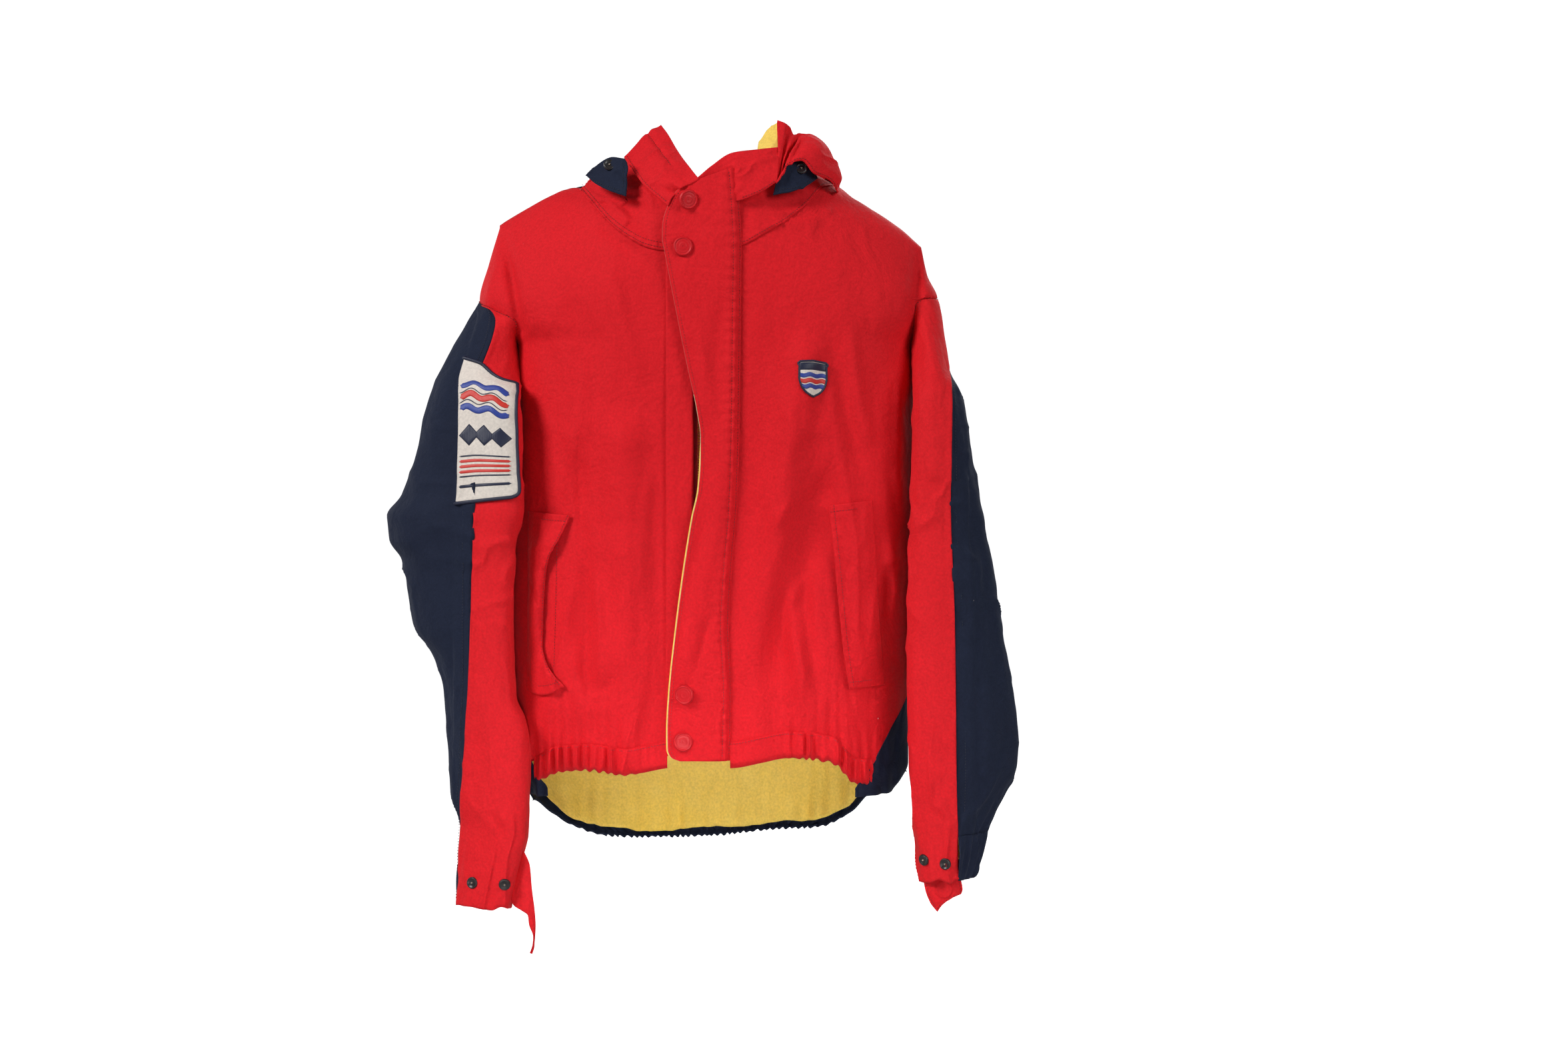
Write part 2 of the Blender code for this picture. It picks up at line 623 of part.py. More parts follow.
CUFF_TABS = {
    -1: {"top": (-0.1830, -0.0780, -0.7000), "outline": ((-0.1915, -0.7010), (-0.1765, -0.7010), (-0.1760, -0.7420),
                                                      (-0.1790, -0.7700), (-0.1810, -0.7890), (-0.1870, -0.7550),
                                                      (-0.1960, -0.7450))},
    1: {"top": (0.2380, -0.0840, -0.7160), "outline": ((0.2200, -0.7165), (0.2540, -0.7165), (0.2560, -0.7270),
                                                     (0.2310, -0.7450), (0.2235, -0.7330))},
}
CUFF_TAB_THICK = 0.0020


def build_cuff_tabs():
    """A tab sewn at the cuff, its end hanging free."""
    flat_plate("cuff_tab_right", CUFF_TABS[-1]["outline"], CUFF_TABS[-1]["top"][1], CUFF_TAB_THICK,
               (SLEEVE_RED, 0.75))
    flat_plate("cuff_tab_left", CUFF_TABS[1]["outline"], CUFF_TABS[1]["top"][1], CUFF_TAB_THICK,
               (SLEEVE_RED, 0.75))


# ---- centre front: zip, placket, storm flap --------------------------------------------------------------
def build_zip():
    for side, title in ((-1, "right"), (1, "left")):
        inner = ZIP_X + side * (TOOTH_OUTER + SEAM_GAP)
        outer = ZIP_X + side * (TOOTH_OUTER + TAPE_WIDTH)
        outline = ((inner, ZIP_BOTTOM), (outer, ZIP_BOTTOM), (outer, ZIP_TOP), (inner, ZIP_TOP))
        flat_plate("zip_tape_" + title, outline, ZIP_PLANE + TAPE_THICK / 2, TAPE_THICK, (DARK_RED, 0.80))
        build_teeth(side, title)


def build_teeth(side, title):
    """A straight spine with a row of square teeth towards the zip's middle, joined in one piece."""
    spine_wide = 0.0012
    spine_x = ZIP_X + side * (TOOTH_OUTER - spine_wide / 2)
    height = ZIP_TOP - ZIP_BOTTOM
    middle = (spine_x, ZIP_PLANE, ZIP_BOTTOM + height / 2)
    work = bmesh.new()
    add_box(work, middle, (spine_wide, TOOTH_THICK, height))
    mesh = bpy.data.meshes.new("zip_teeth_" + title)
    work.to_mesh(mesh)
    work.free()
    rack = add_piece(mesh.name, mesh, (DARK_RED, 0.45))
    root_x = ZIP_X + side * (TOOTH_OUTER - spine_wide * 0.8)
    crown_x = ZIP_X + side * TOOTH_INNER
    work = bmesh.new()
    add_box(work, ((root_x + crown_x) / 2, ZIP_PLANE, ZIP_BOTTOM + TOOTH_PITCH * 0.5),
            (abs(root_x - crown_x), TOOTH_THICK * 0.9, TOOTH_PITCH * 0.5))
    mesh = bpy.data.meshes.new("teeth_row_" + title)
    work.to_mesh(mesh)
    work.free()
    row = bpy.data.objects.new(mesh.name, mesh)
    CUTTERS.objects.link(row)
    row.hide_render = True
    row.display_type = 'WIRE'
    repeat = row.modifiers.new("repeat", 'ARRAY')
    repeat.count = int(height / TOOTH_PITCH)
    repeat.use_relative_offset = False
    repeat.use_constant_offset = True
    repeat.constant_offset_displace = (0.0, 0.0, TOOTH_PITCH)
    join = rack.modifiers.new("teeth", 'BOOLEAN')
    join.operation = 'UNION'
    join.object = row


SLIDER_Z = -0.100
SLIDER_HALF_WIDTH = 0.0048
SLIDER_HALF_HEIGHT = 0.0055
SLIDER_PLATE = 0.0012
SLIDER_CLEAR = 0.0016


def build_slider():
    """Front and rear plates joined by a thin bridge that runs between the teeth."""
    front = ZIP_PLANE - SLIDER_CLEAR - SLIDER_PLATE
    rear = ZIP_PLANE + SLIDER_CLEAR + SLIDER_PLATE
    work = bmesh.new()
    for y in (front + SLIDER_PLATE / 2, rear - SLIDER_PLATE / 2):
        add_box(work, (ZIP_X, y, SLIDER_Z), (SLIDER_HALF_WIDTH * 2, SLIDER_PLATE, SLIDER_HALF_HEIGHT * 2))
    mesh = bpy.data.meshes.new("zip_slider")
    work.to_mesh(mesh)
    work.free()
    slider = add_piece("zip_slider", mesh, (DARK_RED, 0.35, 0.30))
    bpy.ops.mesh.primitive_cube_add(size=1.0, location=(ZIP_X, ZIP_PLANE, SLIDER_Z))
    bridge = bpy.context.object
    bridge.name = "slider_bridge"
    bridge.scale = (0.0006, SLIDER_CLEAR * 2 + SLIDER_PLATE, SLIDER_HALF_HEIGHT * 1.6)
    for group in list(bridge.users_collection):
        group.objects.unlink(bridge)
    CUTTERS.objects.link(bridge)
    bridge.hide_render = True
    bridge.display_type = 'WIRE'
    join = slider.modifiers.new("bridge", 'BOOLEAN')
    join.operation = 'UNION'
    join.object = bridge
    outline = ((ZIP_X - 0.0022, PULL_TOP - 0.0200), (ZIP_X + 0.0022, PULL_TOP - 0.0200),
               (ZIP_X + 0.0028, PULL_TOP - 0.0040), (ZIP_X + 0.0018, PULL_TOP), (ZIP_X - 0.0018, PULL_TOP),
               (ZIP_X - 0.0028, PULL_TOP - 0.0040))
    flat_plate("zip_pull", outline, front - 0.0006, 0.0012, (DARK_RED, 0.35, 0.30))


PULL_TOP = SLIDER_Z + 0.0020


def add_box(work, middle, size):
    made = bmesh.ops.create_cube(work, size=1.0)
    for vert in made["verts"]:
        vert.co = Vector(middle) + Vector((vert.co.x * size[0], vert.co.y * size[1], vert.co.z * size[2]))


PLACKET_LIFT = 0.0004
PLACKET_THICK = 0.0014
PLACKET_X = (-0.0440, -0.0160)
PLACKET_BOTTOM = -0.5850


def build_placket():
    """The under placket on the right front, with a stud for each snap cap."""
    lift = PLACKET_LIFT + PLACKET_THICK
    outline = ((PLACKET_X[0], PLACKET_BOTTOM), (PLACKET_X[1], PLACKET_BOTTOM), (PLACKET_X[1], -0.0120),
               (-0.0300, -0.0180), (PLACKET_X[0], -0.0360))
    back = -(BODY_HALF_DEPTH + PLACKET_LIFT)
    flat_plate("under_placket", outline, back, PLACKET_THICK, (RED, 0.75))
    face = -(BODY_HALF_DEPTH + lift) - 0.0003
    profile = ((0.0, 0.0026), (0.0018, 0.0026), (0.0022, 0.0020), (0.0018, 0.0012), (0.0020, 0.0007),
               (0.0046, 0.0006), (0.0046, 0.0), (0.0, 0.0))
    for number, (x, z) in enumerate(SNAP_POSTS, 1):
        turned(f"placket_stud_{number}", profile, (x, face, z), (STUD_BLACK, 0.35, 0.80), steps=12)


FLAP_THICK = 0.0020
FACING_THICK = 0.0008


def build_storm_flap():
    """The flap, its yellow facing, and four snaps whose sockets pass through both."""
    flap = flat_plate("storm_flap", FLAP_FREE_EDGE + FLAP_SEWN_EDGE, FLAP_INNER, FLAP_THICK, (RED, 0.75))
    low_edge = [(x - 0.0016, z) for x, z in FLAP_FREE_EDGE if -0.58 < z < -0.27]
    facing_outline = [(x + 0.0030, z - 0.0010) for x, z in FLAP_FREE_EDGE if z >= -0.27] + low_edge
    facing_outline += [(-0.0330, -0.5860), (0.0190, -0.5865), (0.0190, -0.4600), (0.0255, -0.3345),
                       (0.0290, -0.1255), (0.0290, -0.0300), (0.0230, 0.0060), (0.0100, 0.0045)]
    facing_back = FLAP_INNER + 0.0003 + FACING_THICK
    facing = flat_plate("storm_flap_facing", facing_outline, facing_back, FACING_THICK, (YELLOW, 0.60))
    outer = FLAP_THICK + FACING_THICK + 0.0003
    profile = ((0.0, outer + 0.0030), (0.0060, outer + 0.0028), (0.0092, outer + 0.0020),
               (SNAP_CAP_RADIUS, outer + 0.0008), (0.0094, outer + 0.0003), (0.0030, outer + 0.0003),
               (0.0030, -0.0003), (0.0052, -0.0003), (0.0052, -0.0016), (0.0026, -0.0016),
               (0.0026, 0.0008), (0.0, 0.0008))
    for number, (x, z) in enumerate(SNAP_POSTS, 1):
        cut_hole(flap, f"flap_hole_{number}", (x, FLAP_INNER, z), SNAP_HOLE, 0.02)
        cut_hole(facing, f"facing_hole_{number}", (x, FLAP_INNER, z), SNAP_HOLE, 0.02)
        turned(f"snap_cap_{number}", profile, (x, facing_back, z), (CAP_RED, 0.35))


# ---- neck --------------------------------------------------------------------------------------------------
def neck_axis(point):
    return Vector((point.x * 0.3, 0.0, point.z))


def build_collar():
    """The collar's two front halves stand up from the neck seam. Its back lies flopped over the back panel."""
    wing = (
        ((-0.0493, -0.0300, 0.0582), (-0.0440, -0.0400, 0.0470), (-0.0290, -0.0650, 0.0250), (-0.0120, -0.0925, 0.0035)),
        ((-0.0610, -0.0400, 0.0490), (-0.0540, -0.0520, 0.0340), (-0.0390, -0.0740, 0.0130), (-0.0240, -0.0930, -0.0080)),
        ((-0.0750, -0.0480, 0.0360), (-0.0660, -0.0620, 0.0200), (-0.0500, -0.0820, 0.0000), (-0.0350, -0.0932, -0.0200)),
        ((-0.0868, -0.0560, 0.0225), (-0.0780, -0.0700, 0.0080), (-0.0600, -0.0880, -0.0120), (-0.0450, -0.0932, -0.0300)),
    )
    cloth("collar_right", wing, (RED, 0.75), neck_axis, thickness=0.0022)
    stand = (
        ((0.0020, -0.0840, 0.0170), (0.0220, -0.0820, 0.0300), (0.0450, -0.0780, 0.0340), (0.0660, -0.0680, 0.0340)),
        ((0.0060, -0.0890, 0.0050), (0.0220, -0.0890, 0.0080), (0.0450, -0.0860, 0.0110), (0.0660, -0.0760, 0.0160)),
        ((0.0060, -0.0915, -0.0080), (0.0220, -0.0920, -0.0100), (0.0450, -0.0910, -0.0080), (0.0660, -0.0840, -0.0030)),
    )
    cloth("collar_left", stand, (RED, 0.75), neck_axis, thickness=0.0022)
    base = []
    for factor, height in ((1.00, 0.0090), (1.06, 0.0210), (1.20, 0.0130), (1.32, -0.0080), (1.37, -0.0250)):
        row = []
        for angle in spread(math.radians(32.0), math.radians(148.0), 11):
            x = 0.116 * factor * math.cos(angle)
            y = 0.076 * factor * math.sin(angle)
            row.append(Vector((x, y, height)))
        base.append(row)
    cloth("collar_back", base, (RED, 0.75), lambda point: Vector((0.0, 0.0, -0.08)), thickness=0.0022)


def build_collar_cover():
    """The soft puff of collar over the stowed hood, beside the neck on the wearer's left."""
    rows = (
        ((0.0760, -0.0760, 0.0310), (0.0770, -0.0700, 0.0470), (0.0780, -0.0560, 0.0540), (0.0790, -0.0420, 0.0480)),
        ((0.0920, -0.0680, 0.0300), (0.0940, -0.0600, 0.0430), (0.0950, -0.0460, 0.0490), (0.0950, -0.0320, 0.0430)),
        ((0.1080, -0.0560, 0.0230), (0.1100, -0.0480, 0.0340), (0.1110, -0.0360, 0.0400), (0.1100, -0.0220, 0.0350)),
        ((0.1220, -0.0400, 0.0120), (0.1250, -0.0330, 0.0220), (0.1250, -0.0220, 0.0280), (0.1230, -0.0080, 0.0270)),
    )
    cloth("collar_cover_left", rows, (RED, 0.75), lambda point: Vector((0.08, -0.03, -0.03)), thickness=0.0022)


def build_hood():
    """The hood, rolled up and stowed inside the back of the neck."""
    route = []
    for angle in spread(math.radians(18.0), math.radians(162.0), 15):
        route.append((0.098 * math.cos(angle), 0.012 + 0.042 * math.sin(angle), -0.010))
    round_cord("rolled_hood", route, 0.0120, (RED, 0.75))


HOOD_TAB = {
    -1: ((-0.1220, 0.0100), (-0.1130, 0.0230), (-0.0970, 0.0300), (-0.0900, 0.0200), (-0.0880, -0.0020),
         (-0.1000, 0.0000)),
    1: ((0.0790, 0.0220), (0.0960, 0.0210), (0.1070, 0.0110), (0.0830, 0.0000), (0.0700, 0.0010)),
}
HOOD_TAB_BACK = -0.0860
HOOD_TAB_THICK = 0.0020
HOOD_STUDS = {-1: (-0.1010, 0.0180), 1: (0.0930, 0.0125)}


def build_hood_tabs():
    """Navy tabs that hold the hood, each with an exposed stud whose end is flat."""
    profile = ((0.0, 0.0024), (0.0040, 0.0024), (0.0050, 0.0014), (0.0056, 0.0008), (0.0056, 0.0), (0.0, 0.0))
    for side, title in ((-1, "right"), (1, "left")):
        flat_plate("hood_tab_" + title, HOOD_TAB[side], HOOD_TAB_BACK, HOOD_TAB_THICK, (NAVY, 0.75))
        x, z = HOOD_STUDS[side]
        face = HOOD_TAB_BACK - HOOD_TAB_THICK - 0.0003
        turned("hood_stud_" + title, profile, (x, face, z), (STUD_BLACK, 0.35, 0.70))


LOOP_HALF = 0.022
LOOP_TOP = (0.0700, -0.0270)
LOOP_DROP = 0.020


def build_hang_loop():
    """A cord loop inside the back neck, hanging from its two sewn ends."""
    y, z = LOOP_TOP
    route = [(-LOOP_HALF * math.cos(angle), y, z - LOOP_DROP * math.sin(angle))
             for angle in spread(0.0, math.pi, 13)]
    round_cord("hang_loop", route, 0.0015, (NAVY, 0.75))


def build_badge():
    """The small embroidered badge on the wearer's left chest."""
    middle = (0.1053, -0.2038)
    half_width = 0.0145
    shield = ((-1.0, 0.86), (-0.55, 1.0), (0.0, 0.92), (0.55, 1.0), (1.0, 0.86), (0.96, -0.40), (0.55, -0.80),
              (0.0, -1.0), (-0.55, -0.80), (-0.96, -0.40))
    outline = [(half_width * u, 0.018 * v) for u, v in shield]
    badge = flat_plate("chest_badge", outline, 0.0, 0.0010, (NAVY, 0.80))
    inner = front_point(middle[0] - half_width, middle[1])
    outer = front_point(middle[0] + half_width, middle[1])
    badge.rotation_euler = (0.0, 0.0, math.atan2(outer.y - inner.y, outer.x - inner.x))
    surface = front_point(middle[0], middle[1]).y
    badge.location = (middle[0], surface - 0.0012, middle[1])


clear_scene()
PARTS = make_collection("foul_weather_jacket")
CUTTERS = make_collection("cutters")
build_back()
build_fronts()
build_pocket_flaps()
build_sleeves()
build_sleeve_patch()
build_cuff_tabs()
build_zip()
build_slider()
build_placket()
build_storm_flap()
build_collar()
build_collar_cover()
build_hood()
build_hood_tabs()
build_hang_loop()
build_badge()
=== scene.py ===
import math

import bpy
import numpy as np
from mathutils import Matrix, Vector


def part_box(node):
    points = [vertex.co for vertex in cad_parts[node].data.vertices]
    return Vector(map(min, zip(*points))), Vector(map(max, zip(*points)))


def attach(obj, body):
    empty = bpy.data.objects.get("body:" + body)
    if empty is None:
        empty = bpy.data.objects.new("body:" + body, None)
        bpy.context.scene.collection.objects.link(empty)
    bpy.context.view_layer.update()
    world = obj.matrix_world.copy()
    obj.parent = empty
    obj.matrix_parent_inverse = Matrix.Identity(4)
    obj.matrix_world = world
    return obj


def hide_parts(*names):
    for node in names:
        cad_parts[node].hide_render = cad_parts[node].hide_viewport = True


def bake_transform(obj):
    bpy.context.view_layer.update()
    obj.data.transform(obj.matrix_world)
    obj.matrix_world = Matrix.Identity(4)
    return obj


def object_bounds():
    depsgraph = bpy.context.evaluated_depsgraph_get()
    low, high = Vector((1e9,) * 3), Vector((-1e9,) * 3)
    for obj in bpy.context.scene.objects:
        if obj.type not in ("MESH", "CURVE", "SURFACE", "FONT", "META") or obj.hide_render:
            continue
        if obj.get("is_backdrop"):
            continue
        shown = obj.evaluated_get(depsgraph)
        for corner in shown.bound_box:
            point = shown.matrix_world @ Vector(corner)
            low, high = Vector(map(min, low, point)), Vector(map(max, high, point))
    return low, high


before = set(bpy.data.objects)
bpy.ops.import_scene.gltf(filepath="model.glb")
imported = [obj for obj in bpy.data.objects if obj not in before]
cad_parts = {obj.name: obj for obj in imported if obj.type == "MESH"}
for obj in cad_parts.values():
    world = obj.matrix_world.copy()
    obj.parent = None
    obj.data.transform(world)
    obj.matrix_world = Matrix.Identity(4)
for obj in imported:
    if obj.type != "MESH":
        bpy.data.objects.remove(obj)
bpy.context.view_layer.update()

# ---- The studio ----------------------------------------------------------------------------------
# A pale floor that sweeps up into the walls, so that no line shows behind the jacket. The jacket hangs
# clear of it. Large soft lights stand in front, above and behind, and the camera looks level at it.
FLOOR_HEIGHT = -0.97
sweep = [(0.02, FLOOR_HEIGHT), (2.0, FLOOR_HEIGHT), (5.5, FLOOR_HEIGHT), (6.6, FLOOR_HEIGHT + 0.18),
         (7.5, FLOOR_HEIGHT + 0.72), (8.1, FLOOR_HEIGHT + 1.7), (8.3, FLOOR_HEIGHT + 3.2), (8.3, 7.0)]
around = 72
points = [(radius * math.cos(math.tau * i / around), radius * math.sin(math.tau * i / around), height)
          for radius, height in sweep for i in range(around)]
faces = [(r * around + i, r * around + (i + 1) % around, (r + 1) * around + (i + 1) % around,
          (r + 1) * around + i)
         for r in range(len(sweep) - 1) for i in range(around)]
faces.append(tuple(range(around)))
mesh = bpy.data.meshes.new("studio_floor")
mesh.from_pydata(points, [], faces)
mesh.shade_smooth()
floor = bpy.data.objects.new("studio_floor", mesh)
bpy.context.scene.collection.objects.link(floor)
floor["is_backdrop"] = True


def new_material(title):
    material = bpy.data.materials.new(title)
    material.use_nodes = True
    return material, material.node_tree, material.node_tree.nodes["Principled BSDF"]


paint, tree, shader = new_material("studio_paint")
shader.inputs["Base Color"].default_value = (0.50, 0.50, 0.50, 1.0)
shader.inputs["Roughness"].default_value = 0.95
shader.inputs["Emission Color"].default_value = (1.0, 1.0, 1.0, 1.0)
ray = tree.nodes.new('ShaderNodeLightPath')
glow = tree.nodes.new('ShaderNodeMath')
glow.operation = 'MULTIPLY'
glow.inputs[1].default_value = 0.98
tree.links.new(ray.outputs["Is Camera Ray"], glow.inputs[0])
tree.links.new(glow.outputs[0], shader.inputs["Emission Strength"])
mesh.materials.append(paint)

world = bpy.data.worlds.new("studio")
bpy.context.scene.world = world
world.use_nodes = True
world.node_tree.nodes["Background"].inputs["Color"].default_value = (1.0, 1.0, 1.0, 1.0)
world.node_tree.nodes["Background"].inputs["Strength"].default_value = 0.17
bpy.context.scene.view_settings.view_transform = 'Standard'

for title, place, aim, size, energy, spread in (
        ("key_light", (-1.9, -1.8, 1.2), (0.0, 0.0, -0.30), 0.9, 68.0, 180.0),
        ("fill_light", (2.1, -1.8, 0.7), (0.0, 0.0, -0.35), 1.3, 35.0, 180.0),
        ("low_light", (0.05, -1.8, -0.80), (0.0, 0.10, -0.67), 0.4, 0.42, 24.0),
        ("rear_light", (1.3, 2.6, 1.5), (0.0, 0.0, -0.35), 1.6, 55.0, 180.0),
        ("rear_fill", (-2.6, 2.0, 0.3), (0.0, 0.0, -0.35), 2.0, 22.0, 180.0)):
    light = bpy.data.lights.new(title, 'AREA')
    light.size = size
    light.energy = energy
    light.spread = math.radians(spread)
    lamp = bpy.data.objects.new(title, light)
    lamp.location = place
    lamp.visible_camera = False
    toward = np.array(aim) - np.array(place)
    lamp.rotation_euler = (math.acos(-toward[2] / np.linalg.norm(toward)), 0.0,
                           math.atan2(toward[1], toward[0]) - math.pi / 2)
    bpy.context.scene.collection.objects.link(lamp)

CAMERA_DISTANCE = 2.4
VIEW_WIDTH = 1.647
lens = bpy.data.cameras.new("camera")
lens.sensor_width = 36.0
lens.lens = lens.sensor_width * CAMERA_DISTANCE / VIEW_WIDTH
camera = bpy.data.objects.new("camera", lens)
camera.location = (0.076, -CAMERA_DISTANCE, -0.349)
camera.rotation_euler = (math.pi / 2, 0.0, 0.0)
bpy.context.scene.collection.objects.link(camera)
bpy.context.scene.camera = camera


# ---- The two front panels ------------------------------------------------------------------------
# Red cotton and nylon poplin, cut with dropped shoulders. Each is sewn to the neck yoke above, to the back
# at the shoulder and side, and is gathered into the hem band. Empty, they hang in long soft folds.
def across_by(columns, start=0.0, end=1.0):
    return np.linspace(start, end, columns)[None, :]


def down_by(rows, start=0.0, end=1.0):
    return np.linspace(start, end, rows)[:, None]


def through(pairs):
    """A smooth line through (place, value) pairs that never swings past them."""
    places, values = np.array(sorted(pairs), float).T
    gaps = np.diff(places)
    slopes = np.diff(values) / gaps
    before, after = slopes[:-1], slopes[1:]
    same = before * after > 0
    inner = np.where(same, 2 * before * after / np.where(same, before + after, 1.0), 0.0)
    tangents = np.concatenate((slopes[:1], inner, slopes[-1:]))

    def line(at):
        at = np.clip(at, places[0], places[-1])
        k = np.clip(np.searchsorted(places, at) - 1, 0, len(gaps) - 1)
        t = (at - places[k]) / gaps[k]
        return (values[k] * (1 + 2 * t) * (1 - t) ** 2 + values[k + 1] * t * t * (3 - 2 * t)
                + gaps[k] * (tangents[k] * t * (1 - t) ** 2 + tangents[k + 1] * t * t * (t - 1)))
    return line


def ease(start, end, at):
    t = np.clip((at - start) / (end - start), 0.0, 1.0)
    return t * t * (3 - 2 * t)


def lattice(a, b, seed):
    mixed = (a * 374761393 + b * 668265263 + seed * 982451653) & 0xFFFFFFFF
    mixed = ((mixed ^ (mixed >> 13)) * 1274126177) & 0xFFFFFFFF
    return ((mixed ^ (mixed >> 16)) & 0xFFFF) / 32767.5 - 1.0


def ripple(u, v, seed):
    """Smooth bumps from -1 to 1, about one to each unit of u and v."""
    a, b = np.floor(u).astype(np.int64), np.floor(v).astype(np.int64)
    s, t = u - a, v - b
    s, t = s * s * (3 - 2 * s), t * t * (3 - 2 * t)
    upper = lattice(a, b, seed) * (1 - s) + lattice(a + 1, b, seed) * s
    lower = lattice(a, b + 1, seed) * (1 - s) + lattice(a + 1, b + 1, seed) * s
    return upper * (1 - t) + lower * t


def crease(u, v, seed, sharp=4.0):
    """1 along wandering fold lines, falling to 0 between them."""
    bent = ripple(u + 0.45 * ripple(u * 1.7, v * 1.7, seed + 1),
                  v + 0.45 * ripple(u * 1.3, v * 2.1, seed + 2), seed)
    return np.clip(1.0 - np.abs(bent) * 1.6, 0.0, 1.0) ** sharp


def beside(path, x, z):
    """How far points are from a path, and how far along it they lie."""
    best = np.full(np.shape(x), 9.0)
    place = np.zeros(np.shape(x))
    start = 0.0
    for (xa, za), (xb, zb) in zip(path, path[1:]):
        length = math.hypot(xb - xa, zb - za)
        t = np.clip(((x - xa) * (xb - xa) + (z - za) * (zb - za)) / length ** 2, 0.0, 1.0)
        away = np.hypot(x - xa - t * (xb - xa), z - za - t * (zb - za))
        closer = away < best
        best = np.where(closer, away, best)
        place = np.where(closer, start + t * length, place)
        start += length
    return best, place


SIDES = ((-1, "right"), (1, "left"))
ZIP_X = -0.008
SHOULDER_TIP = {-1: 0.2225, 1: 0.2200}
RIDGE = through(((-0.2430, -0.0540), (-0.2225, -0.0372), (-0.1940, -0.0195), (-0.1645, -0.0040),
                 (-0.1280, 0.0090),
                 (-0.0850, 0.0400), (0.0, 0.1100), (0.0850, 0.0350), (0.1330, 0.0010), (0.1640, -0.0180),
                 (0.1974, -0.0400), (0.2200, -0.0600), (0.2430, -0.0800)))
HALF_WIDTH = {
    -1: through(((-0.040, 0.2225), (-0.078, 0.2335), (-0.1170, 0.2432), (-0.1437, 0.2280), (-0.1650, 0.2040),
                 (-0.200, 0.2080), (-0.300, 0.2200), (-0.420, 0.2230), (-0.540, 0.2120), (-0.600, 0.2090),
                 (-0.636, 0.1900), (-0.660, 0.1750), (-0.690, 0.1500))),
    1: through(((-0.060, 0.2200), (-0.090, 0.2265), (-0.1150, 0.2372), (-0.1300, 0.2340), (-0.1650, 0.2110),
                (-0.200, 0.2130), (-0.300, 0.2160), (-0.420, 0.2180), (-0.540, 0.2060), (-0.600, 0.2065),
                (-0.636, 0.1860), (-0.660, 0.1740), (-0.690, 0.1490))),
}
PANEL_EDGE = {
    -1: through(((-0.040, 0.2225), (-0.078, 0.2335), (-0.1160, 0.2430), (-0.1180, 0.2425), (-0.1300, 0.2231),
                 (-0.1437, 0.1998), (-0.1650, 0.2035), (-0.200, 0.2078), (-0.300, 0.2198), (-0.420, 0.2228),
                 (-0.520, 0.2130), (-0.5652, 0.1950), (-0.6015, 0.1790), (-0.6207, 0.1680))),
    1: through(((-0.060, 0.2200), (-0.090, 0.2265), (-0.1140, 0.2370), (-0.1155, 0.2365), (-0.1185, 0.2189),
                (-0.1240, 0.2127), (-0.1650, 0.2105), (-0.200, 0.2128), (-0.300, 0.2158), (-0.420, 0.2178),
                (-0.520, 0.2080), (-0.5652, 0.1846), (-0.6015, 0.1640), (-0.6207, 0.1496))),
}
STRAIGHT_EDGE = {
    -1: through(((-0.040, 0.2225), (-0.090, 0.2140), (-0.1437, 0.1998), (-0.1650, 0.2035), (-0.200, 0.2078))),
    1: through(((-0.060, 0.2200), (-0.124, 0.2127), (-0.1650, 0.2105), (-0.200, 0.2128))),
}
YOKE_SEAM = {
    -1: ((-0.1366, -0.0010), (-0.1197, -0.0223), (-0.0987, -0.0464), (-0.0803, -0.0605), (-0.0629, -0.0695),
         (-0.0465, -0.0727), (-0.0155, -0.0730)),
    1: ((0.0015, -0.0740), (0.0344, -0.0672), (0.0560, -0.0555), (0.0770, -0.0425), (0.0989, -0.0223),
        (0.1171, 0.0000), (0.1290, 0.0040)),
}
FRONT_HEM = {
    -1: through(((-0.2090, -0.6220), (-0.1777, -0.6147), (-0.1535, -0.6036), (-0.1200, -0.6006),
                 (-0.0861, -0.6046),
                 (-0.0470, -0.5985), (-0.0155, -0.5930))),
    1: through(((0.0015, -0.5900), (0.0224, -0.5979), (0.0541, -0.5925), (0.0797, -0.5885), (0.0985, -0.5891),
                (0.1261, -0.5939), (0.1500, -0.6160), (0.2060, -0.6220))),
}
HEM_BAND = 0.0265
HEM_REACH = {-1: 0.1790, 1: 0.1640}
DOUBLED_THICKNESS = 0.0020
ARM_FOLD = {
    -1: ((-0.2190, -0.0420), (-0.2090, -0.0780), (-0.2006, -0.1150), (-0.1950, -0.1500)),
    1: ((0.2188, -0.0704), (0.2120, -0.1067), (0.2099, -0.1334), (0.2110, -0.1700)),
}


